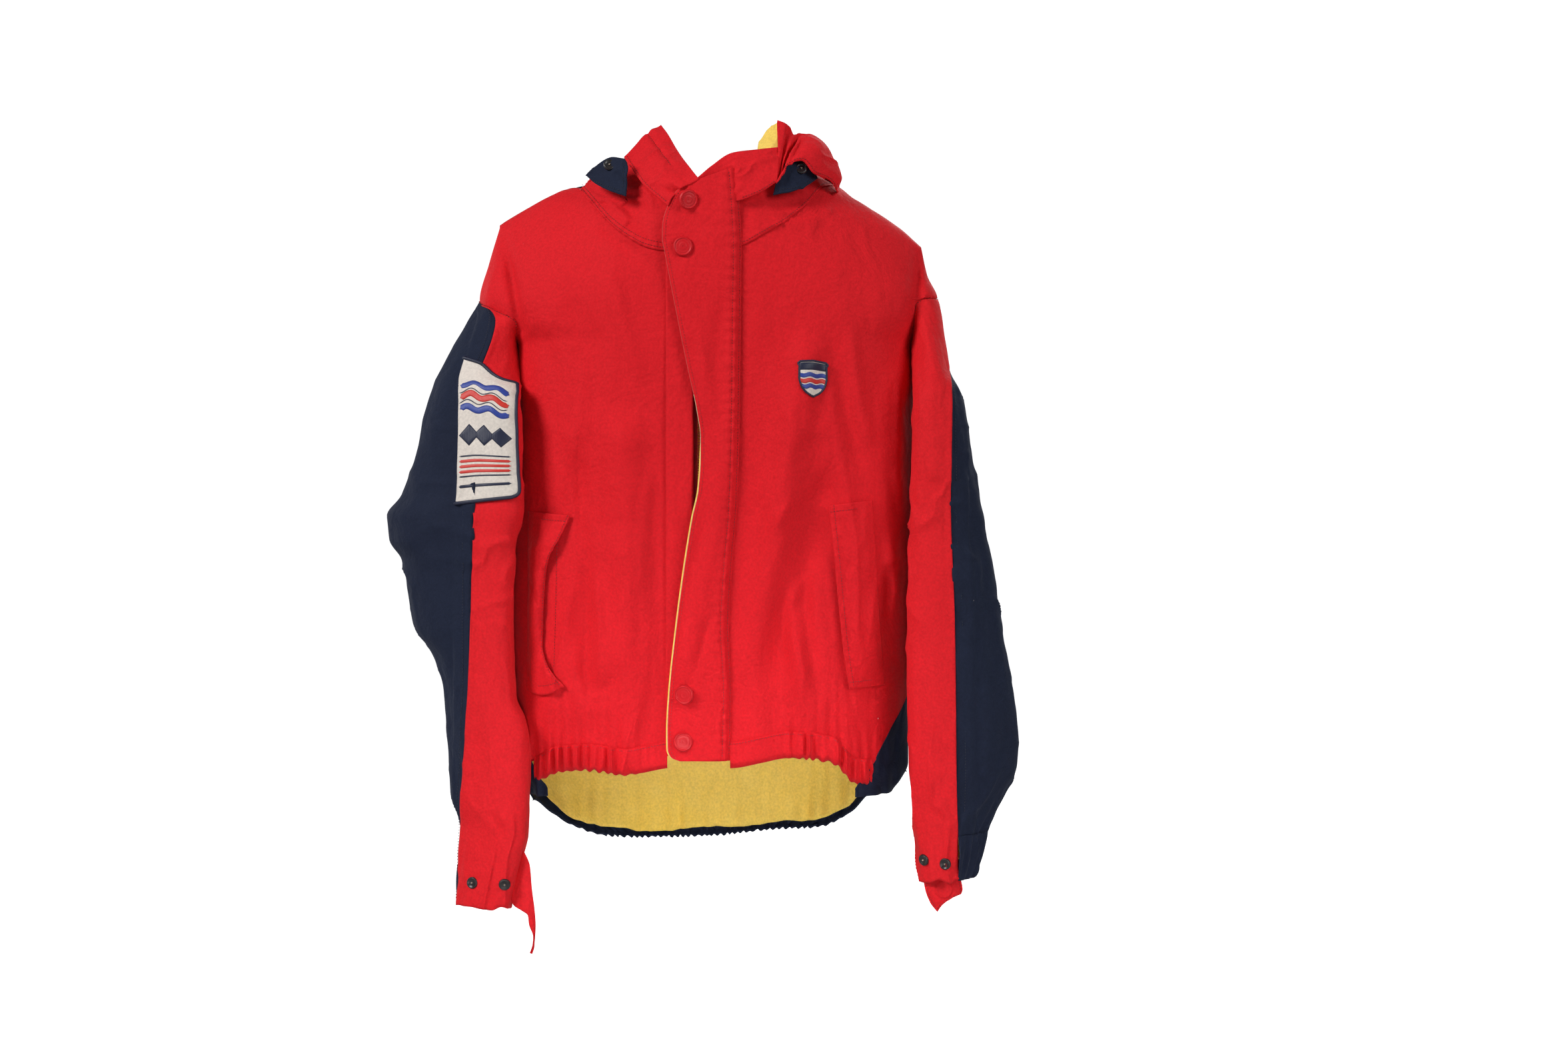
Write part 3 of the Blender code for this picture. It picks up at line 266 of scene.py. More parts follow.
# The main folds that the fronts hang in: how high each stands (or sinks), how wide it is, and its path.
FRONT_FOLDS = (
    (0.0095, 0.0200, ((-0.0881, -0.2249), (-0.0829, -0.3176), (-0.0812, -0.4207), (-0.1001, -0.5238))),
    (-0.0120, 0.0150, ((-0.0331, -0.1905), (-0.0417, -0.2833), (-0.0400, -0.4035), (-0.0434, -0.5513))),
    (-0.0095, 0.0120, ((-0.1345, -0.2558), (-0.1311, -0.3520), (-0.1259, -0.4551), (-0.1225, -0.5479))),
    (0.0050, 0.0080, ((-0.0606, -0.3005), (-0.0658, -0.3692), (-0.0589, -0.4551), (-0.0640, -0.5066))),
    (0.0045, 0.0060, ((-0.1173, -0.3864), (-0.1104, -0.4551), (-0.1139, -0.5341))),
    (-0.0035, 0.0050, ((-0.1053, -0.4723), (-0.0915, -0.4998), (-0.1087, -0.5376))),
    (0.0030, 0.0045, ((-0.0537, -0.2695), (-0.0606, -0.3176), (-0.0709, -0.3589))),
    (0.0030, 0.0050, ((-0.1500, -0.4723), (-0.1293, -0.5101), (-0.1190, -0.5582))),
    (0.0110, 0.0170,
     ((0.1078, -0.1458), (0.0854, -0.2420), (0.0717, -0.3451), (0.0493, -0.4482), (0.0339, -0.5307))),
    (-0.0100, 0.0170, ((0.1198, -0.2833), (0.1026, -0.3692), (0.0734, -0.4482), (0.0511, -0.5238))),
    (0.0070, 0.0090, ((0.0837, -0.3726), (0.0837, -0.4551), (0.1009, -0.5341))),
    (-0.0055, 0.0070, ((0.0957, -0.3864), (0.1009, -0.4620), (0.1112, -0.5410))),
    (0.0050, 0.0080, ((0.1404, -0.1321), (0.1524, -0.2214), (0.1662, -0.2901))),
    (-0.0045, 0.0070, ((0.1181, -0.1389), (0.1387, -0.2352), (0.1559, -0.3039))),
    (0.0060, 0.0080, ((0.1868, -0.3383), (0.1902, -0.4207), (0.1662, -0.5307))),
    (-0.0060, 0.0070, ((0.1816, -0.3864), (0.1834, -0.4620), (0.1559, -0.5513))),
    (0.0040, 0.0060, ((0.1971, -0.1802), (0.1937, -0.2833), (0.1971, -0.3520))),
    (-0.0060, 0.0100, ((0.0390, -0.2317), (0.0397, -0.3520), (0.0339, -0.4894))),
    (0.0035, 0.0050, ((0.0493, -0.3795), (0.0700, -0.3451), (0.0940, -0.3108))),
    (0.0035, 0.0045, ((0.0597, -0.4620), (0.0837, -0.4310), (0.1043, -0.3864))),
    (-0.0040, 0.0120, ((-0.1500, -0.0977), (-0.1225, -0.1664), (-0.1190, -0.2558))),
    (0.0040, 0.0100, ((-0.1018, -0.0840), (-0.0847, -0.1527), (-0.0606, -0.2214))),
)


def folded(folds, x, z):
    """The height of the cloth where it hangs in these folds, which fade at their ends."""
    lift = np.zeros(np.shape(x))
    for height, width, path in folds:
        away, place = beside(path, x, z)
        length = sum(math.hypot(xb - xa, zb - za) for (xa, za), (xb, zb) in zip(path, path[1:]))
        fade = ease(0.0, 0.045, place) * ease(length, length - 0.045, place)
        width = width * (1 + 0.25 * ripple(x * 60, z * 14, 6))
        lift += height * np.exp(-(away / width) ** 2) * fade
    return lift


FLAT_MIDDLE = 0.050
SHOULDER_FALL = 0.150
HALF_DEPTH = 0.0874
SEAM_GAP = 0.0006
ROUNDING = 2.2


def body_depth(x, z):
    """Distance of the smooth body from the jacket's middle plane: rounded at the sides and the shoulders."""
    half = np.where(x < 0, HALF_WIDTH[-1](z), HALF_WIDTH[1](z))
    across = np.clip((np.abs(x) - FLAT_MIDDLE) / (half - FLAT_MIDDLE), 0.0, 1.0)
    below = np.clip((RIDGE(x) - z) / SHOULDER_FALL, 0.0, 1.0)
    return SEAM_GAP + HALF_DEPTH * (1 - across ** ROUNDING) ** (1 / ROUNDING) * np.sqrt(1 - (1 - below) ** 2)


def front_folds(x, z):
    """How far the front's cloth stands off the smooth body."""
    side = np.where(x < ZIP_X, -1, 1)
    lower = ease(-0.08, -0.40, z)
    lean = x + 0.10 * (z + 0.3) * side * 0.35
    lift = (0.0050 * ripple(lean * 12.5 + 0.5 * ripple(x * 6, z * 4, 3), z * 1.7 + side * 5.3, 5)
            * (0.30 + 0.70 * lower))
    lift += 0.0042 * ripple(lean * 33 + ripple(x * 9, z * 7, 9), z * 4.2, 8) * (0.2 + 0.8 * lower)
    lift += 0.0062 * crease(lean * 16, z * 3.1, 21, 4.0) * lower
    lift -= 0.0024 * crease(x * 30 + z * 6, z * 9, 33, 5.0) * (0.15 + 0.85 * ease(-0.25, -0.55, z))
    lift += 0.0006 * ripple(x * 110, z * 60, 13) * (0.4 + 0.6 * lower)
    lift += folded(FRONT_FOLDS, x, z)
    for s in (-1, 1):
        away, _ = beside(ARM_FOLD[s], x, z)
        down = ease(-0.035, -0.100, z)
        lift -= 0.0100 * np.exp(-(away / 0.0065) ** 2) * down
        outside = np.exp(-((np.abs(x) - 0.230) / 0.011) ** 2) * (side == s) * ease(-0.05, -0.10, z)
        lift += 0.0050 * outside
        away, place = beside(YOKE_SEAM[s], x, z)
        lift += (0.0007 * np.exp(-(away / 0.010) ** 2)
                 * np.sin(place * 690 + 3 * ripple(place * 40, place, 4)))
        gathered = ease(0.052, 0.085, np.abs(x - 0.006)) * (side == s)
        rise = z - FRONT_HEM[s](x) - HEM_BAND
        close = np.exp(-np.clip(rise, 0.0, 1.0) / 0.040)
        flute = np.sin(x * 560 + 2.2 * ripple(x * 42, z * 12, 15)) * (0.65 + 0.35 * ripple(x * 70, z * 9, 16))
        lift += 0.0028 * flute * close * gathered
        lift += 0.0070 * gathered * np.exp(-((rise - 0.055) / 0.045) ** 2)
    neck = ease(-0.075, -0.035, z) * ease(0.15, 0.11, np.abs(x))
    lift += neck * (0.0048 * crease(x * 22 + z * 14, z * 34 - x * 9, 41, 3.0) - 0.0022
                    + 0.0018 * ripple(x * 60, z * 60, 43))
    knot = np.exp(-((x + 0.072) / 0.026) ** 2 - ((z + 0.018) / 0.026) ** 2)
    lift += knot * (0.0085 * (crease(x * 34 + z * 46, z * 30 - x * 22, 45, 2.0) - 0.4)
                    + 0.0022 * ripple(x * 95, z * 95, 46))
    drag, _ = beside(((-0.094, -0.045), (-0.070, -0.064), (-0.044, -0.084)), x, z)
    lift += (side < 0) * (0.0026 * np.exp(-(drag / 0.007) ** 2)
                          - 0.0020 * np.exp(-((drag - 0.013) / 0.006) ** 2))
    edge = np.clip((np.where(x < 0, HALF_WIDTH[-1](z), HALF_WIDTH[1](z)) - np.abs(x)) / 0.012, 0.0, 1.0)
    under_flap = 0.15 + 0.85 * ease(0.040, 0.080, np.abs(x + 0.004))
    return lift * edge * under_flap


def front_surface(x, z, lift=0.0):
    return np.stack((x, -body_depth(x, z) - front_folds(x, z) - lift, z), axis=-1)


def top_of_front(side):
    ridge = tuple((x, float(RIDGE(x))) for x in (side * 0.150, side * 0.170, side * 0.195, side * 0.2100,
                                                 side * SHOULDER_TIP[side]))
    return through(YOKE_SEAM[side] + ridge)


def out_to_edge(side, z, u):
    """Share u of the way out to the side. Only the last of it follows the flare over the shoulder."""
    edge = PANEL_EDGE[side](z)
    straight = np.where(z > -0.200, STRAIGHT_EDGE[side](z), edge)
    return side * (straight * u + (edge - straight) * u ** 10)


def sewn_to_back(z):
    """1 where the side edge is sewn to the back, and 0 at the armhole."""
    return 1 - ease(-0.106, -0.118, z) * ease(-0.252, -0.236, z)


def front_grid(side, top, low, centre, rows, columns):
    """Rows from the top edge to the hem, columns from the centre front out to the side."""
    u = np.sin(np.linspace(0.0, 1.0, columns) * math.pi / 2)[None, :]
    v = down_by(rows)
    lowest = low(centre + (side * HEM_REACH[side] - centre) * u)
    for settle in range(6):
        lowest = low(centre + (side * PANEL_EDGE[side](lowest) - centre) * u)
    z = top(centre + (side * SHOULDER_TIP[side] - centre) * u) * (1 - v) + lowest * v
    x = centre * (1 - u) + out_to_edge(side, z, u)
    sheet = front_surface(x, z)
    sewn = sewn_to_back(z[:, -1]) * ease(-0.534, -0.522, z[:, -1])
    sheet[:, -1, 1] += sewn * (-0.0005 - sheet[:, -1, 1])
    return sheet


def new_piece(name, mesh, material, body, nodes):
    piece = bpy.data.objects.new(name, mesh)
    bpy.context.scene.collection.objects.link(piece)
    mesh.materials.append(material)
    mesh.shade_smooth()
    if body:
        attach(piece, body)
    if nodes:
        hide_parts(*nodes)
    return piece


def facing(grid):
    """Unit normals of a grid of points."""
    down, across = np.gradient(grid, axis=0), np.gradient(grid, axis=1)
    normal = np.cross(across, down)
    return normal / np.maximum(np.linalg.norm(normal, axis=-1, keepdims=True), 1e-12)


def cloth(name, grid, material, body, nodes, inside, thickness=0.0012, closed=False):
    """One cut piece of cloth: its outer face is the grid, and its thickness lies towards inside."""
    rows, columns = grid.shape[:2]
    index = np.arange(rows * columns).reshape(rows, columns)
    right = np.roll(index, -1, axis=1)
    last = columns if closed else columns - 1
    quads = np.stack((index[:-1, :last], right[:-1, :last], right[1:, :last], index[1:, :last]), axis=-1)
    outward = (facing(grid) * (grid - np.array(inside(grid)))).sum()
    if outward < 0:
        quads = quads[..., ::-1]
    mesh = bpy.data.meshes.new(name)
    mesh.from_pydata(grid.reshape(-1, 3).tolist(), [], quads.reshape(-1, 4).tolist())
    mesh.update()
    piece = new_piece(name, mesh, material, body, nodes)
    solid = piece.modifiers.new("thickness", 'SOLIDIFY')
    solid.thickness = thickness
    solid.offset = -1.0
    return piece


def trunk(grid):
    """The nearest point on the jacket's hollow middle."""
    inner = grid.copy()
    inner[..., 0] = np.clip(inner[..., 0], -0.12, 0.12)
    inner[..., 1] = 0.0
    inner[..., 2] = np.minimum(inner[..., 2], -0.12)
    return inner


def new_group(title, inputs, outputs):
    group = bpy.data.node_groups.new(title, 'ShaderNodeTree')
    for name, value in inputs:
        kind = 'NodeSocketColor' if isinstance(value, tuple) else 'NodeSocketFloat'
        socket = group.interface.new_socket(name, in_out='INPUT', socket_type=kind)
        socket.default_value = value
    for name, kind in outputs:
        group.interface.new_socket(name, in_out='OUTPUT', socket_type='NodeSocket' + kind)
    return group


def node(tree, kind, **settings):
    """A shader node. Settings named by an input's name or number fill that input, by value or by link."""
    made = tree.nodes.new('ShaderNode' + kind)
    for key, value in settings.items():
        if key.startswith("at"):
            socket = made.inputs[int(key[2:])] if key[2:].isdigit() else made.inputs[key[3:].replace("_", " ")]
            if isinstance(value, bpy.types.NodeSocket):
                tree.links.new(value, socket)
            else:
                socket.default_value = value
        else:
            setattr(made, key, value)
    return made


# Plain weave: warp and weft cross over and under, and the threads are not all equally thick.
weave = new_group("plain_weave", (("Threads per metre", 1400.0), ("Slub", 0.4)),
                  (("Height", 'Float'), ("Thread shade", 'Float')))
g_in, g_out = weave.nodes.new('NodeGroupInput'), weave.nodes.new('NodeGroupOutput')
place = node(weave, 'TexCoord').outputs["Object"]
split = node(weave, 'SeparateXYZ', at0=place)
across = node(weave, 'Math', operation='ADD', at0=split.outputs["X"], at1=split.outputs["Y"]).outputs[0]
turns = node(weave, 'Math', operation='MULTIPLY', at0=g_in.outputs["Threads per metre"],
             at1=math.pi).outputs[0]
warp = node(weave, 'Math', operation='SINE',
            at0=node(weave, 'Math', operation='MULTIPLY', at0=across, at1=turns).outputs[0]).outputs[0]
weft = node(weave, 'Math', operation='SINE',
            at0=node(weave, 'Math', operation='MULTIPLY', at0=split.outputs["Z"],
                     at1=turns).outputs[0]).outputs[0]
cross = node(weave, 'Math', operation='MULTIPLY', at0=warp, at1=weft).outputs[0]
stretch = node(weave, 'Mapping', at0=place, at3=(60.0, 60.0, 900.0)).outputs[0]
slub = node(weave, 'TexNoise', at_Vector=stretch, at_Scale=1.0, at_Detail=2.0).outputs["Fac"]
stretch_up = node(weave, 'Mapping', at0=place, at3=(900.0, 900.0, 60.0)).outputs[0]
slub_up = node(weave, 'TexNoise', at_Vector=stretch_up, at_Scale=1.0, at_Detail=2.0).outputs["Fac"]
slubs = node(weave, 'Math', operation='ADD', at0=slub, at1=slub_up).outputs[0]
weighted = node(weave, 'Math', operation='MULTIPLY', at0=slubs, at1=g_in.outputs["Slub"]).outputs[0]
height = node(weave, 'Math', operation='MULTIPLY_ADD', at0=cross, at1=0.5, at2=weighted).outputs[0]
weave.links.new(height, g_out.inputs["Height"])
weave.links.new(slubs, g_out.inputs["Thread shade"])

# Small crumples that stay in cotton cloth after it has been worn and packed away.
crumple = new_group("crumple", (("Size", 1.0), ("Sharpness", 0.5)), (("Height", 'Float'),))
g_in, g_out = crumple.nodes.new('NodeGroupInput'), crumple.nodes.new('NodeGroupOutput')
place = node(crumple, 'TexCoord').outputs["Object"]
bend = node(crumple, 'TexNoise', at_Vector=place, at_Scale=14.0, at_Detail=2.0).outputs["Color"]
moved = node(crumple, 'VectorMath', operation='MULTIPLY_ADD', at0=bend, at1=(0.05, 0.05, 0.05),
             at2=place).outputs[0]
size = node(crumple, 'Math', operation='MULTIPLY', at0=g_in.outputs["Size"], at1=34.0).outputs[0]
long_way = node(crumple, 'Mapping', at0=moved, at3=(1.0, 1.0, 0.55)).outputs[0]
broad = node(crumple, 'TexNoise', noise_type='RIDGED_MULTIFRACTAL', at_Vector=long_way, at_Scale=size,
             at_Detail=3.0,
             at_Roughness=0.45).outputs["Fac"]
fine_size = node(crumple, 'Math', operation='MULTIPLY', at0=size, at1=4.2).outputs[0]
fine = node(crumple, 'TexNoise', at_Vector=moved, at_Scale=fine_size, at_Detail=4.0).outputs["Fac"]
sharpened = node(crumple, 'Math', operation='MULTIPLY', at0=broad, at1=g_in.outputs["Sharpness"]).outputs[0]
height = node(crumple, 'Math', operation='MULTIPLY_ADD', at0=fine, at1=0.35, at2=sharpened).outputs[0]
crumple.links.new(height, g_out.inputs["Height"])

# Age: broad fading, a mottle from washing, pale lint and a few dark specks.
ageing = new_group("ageing", (("Cloth", (0.5, 0.0, 0.0, 1.0)), ("Faded", (0.6, 0.1, 0.1, 1.0)),
                              ("Fading", 0.5),
                              ("Lint", 0.5), ("Specks", 0.3)), (("Color", 'Color'), ("Dullness", 'Float')))
g_in, g_out = ageing.nodes.new('NodeGroupInput'), ageing.nodes.new('NodeGroupOutput')
place = node(ageing, 'TexCoord').outputs["Object"]
patches = node(ageing, 'TexNoise', at_Vector=place, at_Scale=7.0, at_Detail=3.0).outputs["Fac"]
mottle = node(ageing, 'TexNoise', at_Vector=place, at_Scale=65.0, at_Detail=4.0,
              at_Roughness=0.6).outputs["Fac"]
both = node(ageing, 'Math', operation='MULTIPLY_ADD', at0=mottle, at1=0.55, at2=patches).outputs[0]
spread_out = node(ageing, 'MapRange', at0=both, at1=0.50, at2=1.05, at3=0.0, at4=1.0).outputs[0]
faded = node(ageing, 'Math', operation='MULTIPLY', at0=spread_out, at1=g_in.outputs["Fading"]).outputs[0]
colour = node(ageing, 'Mix', data_type='RGBA', at0=faded, at6=g_in.outputs["Cloth"],
              at7=g_in.outputs["Faded"]).outputs[2]
grain = node(ageing, 'TexNoise', at_Vector=place, at_Scale=420.0, at_Detail=2.0).outputs["Fac"]
grain_shade = node(ageing, 'MapRange', at0=grain, at1=0.3, at2=0.7, at3=0.90, at4=1.08).outputs[0]
colour = node(ageing, 'VectorMath', operation='SCALE', at0=colour, at3=grain_shade).outputs[0]
dots = node(ageing, 'TexVoronoi', at_Vector=place, at_Scale=52.0, at_Randomness=1.0)
inside_dot = node(ageing, 'MapRange', at0=dots.outputs["Distance"], at1=0.030, at2=0.048, at3=1.0,
                  at4=0.0).outputs[0]
choice = node(ageing, 'SeparateColor', at0=dots.outputs["Color"])
few = node(ageing, 'Math', operation='GREATER_THAN', at0=choice.outputs[0], at1=0.955).outputs[0]
lint_mask = node(ageing, 'Math', operation='MULTIPLY', at0=inside_dot, at1=few).outputs[0]
lint_part = node(ageing, 'Math', operation='MULTIPLY', at0=lint_mask, at1=g_in.outputs["Lint"]).outputs[0]
colour = node(ageing, 'Mix', data_type='RGBA', at0=lint_part, at6=colour,
              at7=(0.75, 0.66, 0.62, 1.0)).outputs[2]
rare = node(ageing, 'Math', operation='GREATER_THAN', at0=choice.outputs[1], at1=0.975).outputs[0]
speck_mask = node(ageing, 'Math', operation='MULTIPLY', at0=inside_dot, at1=rare).outputs[0]
speck_part = node(ageing, 'Math', operation='MULTIPLY', at0=speck_mask, at1=g_in.outputs["Specks"]).outputs[0]
colour = node(ageing, 'Mix', data_type='RGBA', at0=speck_part, at6=colour,
              at7=(0.05, 0.02, 0.02, 1.0)).outputs[2]
ageing.links.new(colour, g_out.inputs["Color"])
ageing.links.new(spread_out, g_out.inputs["Dullness"])


def poplin(title, cloth_colour, faded_colour, fading=0.35, rough=0.78, sheen=0.02, threads=1400.0,
           crumples=0.55,
           lint=0.5, specks=0.25, bump=0.8, tint=(1.0, 0.6, 0.6, 1.0)):
    """Woven cotton cloth, matte, with its weave, crumples and age."""
    material, tree, shader = new_material(title)
    age = node(tree, 'Group', node_tree=ageing, at_Cloth=(*cloth_colour, 1.0), at_Faded=(*faded_colour, 1.0),
               at_Fading=fading, at_Lint=lint, at_Specks=specks)
    tree.links.new(age.outputs["Color"], shader.inputs["Base Color"])
    threads_group = node(tree, 'Group', node_tree=weave, at_Threads_per_metre=threads)
    crumple_group = node(tree, 'Group', node_tree=crumple, at_Sharpness=crumples)
    soft = node(tree, 'Bump', at_Strength=bump, at_Distance=0.0036, at_Height=crumple_group.outputs["Height"])
    fine = node(tree, 'Bump', at_Strength=0.35, at_Distance=0.00022,
                at_Height=threads_group.outputs["Height"],
                at_Normal=soft.outputs[0])
    tree.links.new(fine.outputs[0], shader.inputs["Normal"])
    dull = node(tree, 'MapRange', at0=age.outputs["Dullness"], at1=0.0, at2=1.0, at3=rough - 0.06,
                at4=rough + 0.10)
    tree.links.new(dull.outputs[0], shader.inputs["Roughness"])
    shader.inputs["Specular IOR Level"].default_value = 0.16
    shader.inputs["Sheen Weight"].default_value = sheen
    shader.inputs["Sheen Roughness"].default_value = 0.5
    shader.inputs["Sheen Tint"].default_value = tint
    return material


RED = poplin("red_poplin", (0.640, 0.0070, 0.0130), (0.700, 0.018, 0.026), crumples=0.70, bump=0.95)
THREAD_PITCH = 0.0030
THREAD_THICKNESS = 0.0002
ON_CLOTH = np.array((0.0, -0.0003, 0.0))


def bar_faces(first):
    """Faces of a closed bar: four rings of four points each, numbered from first."""
    faces = [(base + k, base + (k + 1) % 4, base + 4 + (k + 1) % 4, base + 4 + k)
             for base in range(first, first + 12, 4) for k in range(4)]
    return faces + [(first + 3, first + 2, first + 1, first),
                    (first + 12, first + 13, first + 14, first + 15)]


def stitches(name, lines, colour, body, pitch=THREAD_PITCH, radius=0.00030, share=0.62):
    """Rows of separate lockstitches: each line is a list of points on the cloth, with a stitch every pitch."""
    points, quads = [], []
    for line in lines:
        line = np.array(line, float)
        steps = np.linalg.norm(np.diff(line, axis=0), axis=1)
        reach = np.concatenate(([0.0], np.cumsum(steps)))
        for start in np.arange(0.0, reach[-1] - pitch, pitch):
            ends = [np.array([np.interp(start + d, reach, line[:, k]) for k in range(3)])
                    for d in (0.0, pitch * share)]
            along_it = ends[1] - ends[0]
            along_it /= max(np.linalg.norm(along_it), 1e-9)
            side = np.cross(along_it, (0.0, -1.0, 0.0))
            side /= max(np.linalg.norm(side), 1e-9)
            out = np.cross(side, along_it)
            first = len(points)
            for d, thick in ((0.0, 0.45), (0.25, 1.0), (0.75, 1.0), (1.0, 0.45)):
                middle = ends[0] * (1 - d) + ends[1] * d
                for a, b in ((1, 0), (0, 1), (-1, 0), (0, -1)):
                    points.append(middle + (side * a + out * b) * radius * thick)
            quads.extend(bar_faces(first))
    mesh = bpy.data.meshes.new(name)
    mesh.from_pydata([tuple(p) for p in points], [], quads)
    return new_piece(name, mesh, colour, body, ())


def thread(title, colour):
    """Spun polyester sewing thread, twisted from plies."""
    material, tree, shader = new_material(title)
    place = node(tree, 'TexCoord').outputs["Object"]
    plies = node(tree, 'TexWave', at_Vector=place, at_Scale=900.0, bands_direction='DIAGONAL')
    shade = node(tree, 'MapRange', at0=plies.outputs["Fac"], at1=0.0, at2=1.0, at3=0.72, at4=1.1)
    mixed = node(tree, 'VectorMath', operation='SCALE', at0=colour, at3=shade.outputs[0])
    tree.links.new(mixed.outputs[0], shader.inputs["Base Color"])
    bump = node(tree, 'Bump', at_Strength=0.4, at_Distance=0.0001, at_Height=plies.outputs["Fac"])
    tree.links.new(bump.outputs[0], shader.inputs["Normal"])
    shader.inputs["Roughness"].default_value = 0.62
    return material


DARK_THREAD = thread("dark_red_thread", (0.20, 0.008, 0.010))
FRONT_EDGE = {-1: ZIP_X - 0.0075, 1: ZIP_X + 0.0075}
for side, title in SIDES:
    hem_seam = lambda x, s=side: FRONT_HEM[s](x) + HEM_BAND - 0.004
    panel = front_grid(side, top_of_front(side), hem_seam, FRONT_EDGE[side], 200, 84)
    cloth("front_cloth_" + title, panel, RED, "root", ("front_panel_" + title,), trunk)

# ---- Front linings and pocket bags ---------------------------------------------------------------
# Thin yellow nylon, cut a little smaller than the shell and sewn to it round the edges. The pocket bags
# hang between shell and lining, out of sight.
YELLOW = poplin("yellow_lining", (0.950, 0.640, 0.095), (0.960, 0.720, 0.200), fading=0.5, rough=0.56,
                sheen=0.05,
                threads=1900.0, crumples=0.9, lint=0.15, specks=0.5, bump=0.8, tint=(1.0, 0.9, 0.6, 1.0))


LINING_THICKNESS = 0.0006


def lining_surface(x, z, rear, inset=0.008):
    """Follows the shell's smooth shape, and the folds that sink inward, a little inside them."""
    sunk = np.minimum((back_folds if rear else front_folds)(x, z), 0.0)
    depth = np.maximum(body_depth(x * 1.02, z + 0.010) + sunk - inset, 0.001)
    slack = 0.0022 * ripple(x * 22, z * 6, 61) + 0.0013 * crease(x * 30, z * 18, 62, 3.0)
    depth = np.maximum(depth - 0.0012 - slack * np.clip(depth / 0.03, 0.0, 1.0), 0.0006)
    return np.stack((x, depth if rear else -depth, z), axis=-1)


for side, title in SIDES:
    u = across_by(40)
    v = down_by(90)
    edge = ZIP_X + side * 0.011
    top = through(tuple((x, z - 0.008) for x, z in YOKE_SEAM[side])
                  + tuple((x, float(RIDGE(x)) - 0.012) for x in (side * 0.170, side * 0.205)))
    z = top(edge + (side * 0.205 - edge) * u) * (1 - v) + (FRONT_HEM[side](edge + (side * 0.160 - edge) * u)
                                                          + HEM_BAND + 0.004) * v
    x = edge + (side * (np.minimum(PANEL_EDGE[side](z), 0.228) - 0.014) - edge) * u
    inner = lining_surface(x, z, False)
    inner[..., 1] += 0.012 * ease(0.75, 0.95, v)
    cloth("front_lining_cloth_" + title, inner, YELLOW, "root", ("front_lining_" + title,),
          trunk, thickness=LINING_THICKNESS)
    low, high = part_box("pocket_bag_" + title)
    u = across_by(24)
    v = down_by(40)
    x = low[0] + (high[0] - low[0]) * u + 0 * v
    z = high[2] + (low[2] - high[2]) * v + 0 * u
    cloth("pocket_bag_cloth_" + title, lining_surface(x, z, False, 0.0050), YELLOW, "root",
          ("pocket_bag_" + title,),
          trunk, thickness=0.0008)

# ---- The neck yokes ------------------------------------------------------------------------------
# A red strip between the collar seam and the yoke seam on each side. Its lower edge is folded under and
# topstitched over the front panel, and the cloth crumples where the collar pulls on it.
YOKE_NECK = {
    -1: through(((-0.1366, -0.0030), (-0.1273, 0.0050), (-0.1100, 0.0170), (-0.0920, 0.0290),
                 (-0.0750, 0.0180),
                 (-0.0600, 0.0020), (-0.0450, -0.0140), (-0.0155, -0.0300))),
    1: through(((0.0015, -0.0260), (0.0306, -0.0140), (0.0534, -0.0020), (0.0675, 0.0100), (0.0850, 0.0270),
                (0.1000, 0.0200), (0.1150, 0.0105), (0.1290, 0.0020))),
}
for side, title in SIDES:
    reach = side * (0.1362 if side < 0 else 0.1285)
    across = np.linspace(FRONT_EDGE[side], reach, 70)[None, :]
    v = down_by(34)
    seam = through(YOKE_SEAM[side])
    z = YOKE_NECK[side](across) * (1 - v) + (seam(across) - 0.0014) * v
    x = across + 0 * z
    strip = front_surface(x, z)
    strip[..., 1] -= 0.0005 + 0.0011 * ease(0.55, 0.97, v) * (1 - ease(0.985, 1.0, v) * 0.5)
    cloth("neck_yoke_cloth_" + title, strip, RED, "root", ("neck_yoke_" + title,), trunk)
    row_x = np.linspace(FRONT_EDGE[side], reach * 0.99, 160)
    lines = []
    for rise in (0.0022, 0.0072) if side < 0 else (0.0022,):
        line = front_surface(row_x, seam(row_x) + rise)
        line[:, 1] -= 0.0021 if rise < 0.005 else 0.0018
        lines.append(line)
    stitches("yoke_stitching_" + title, lines, DARK_THREAD, "root")

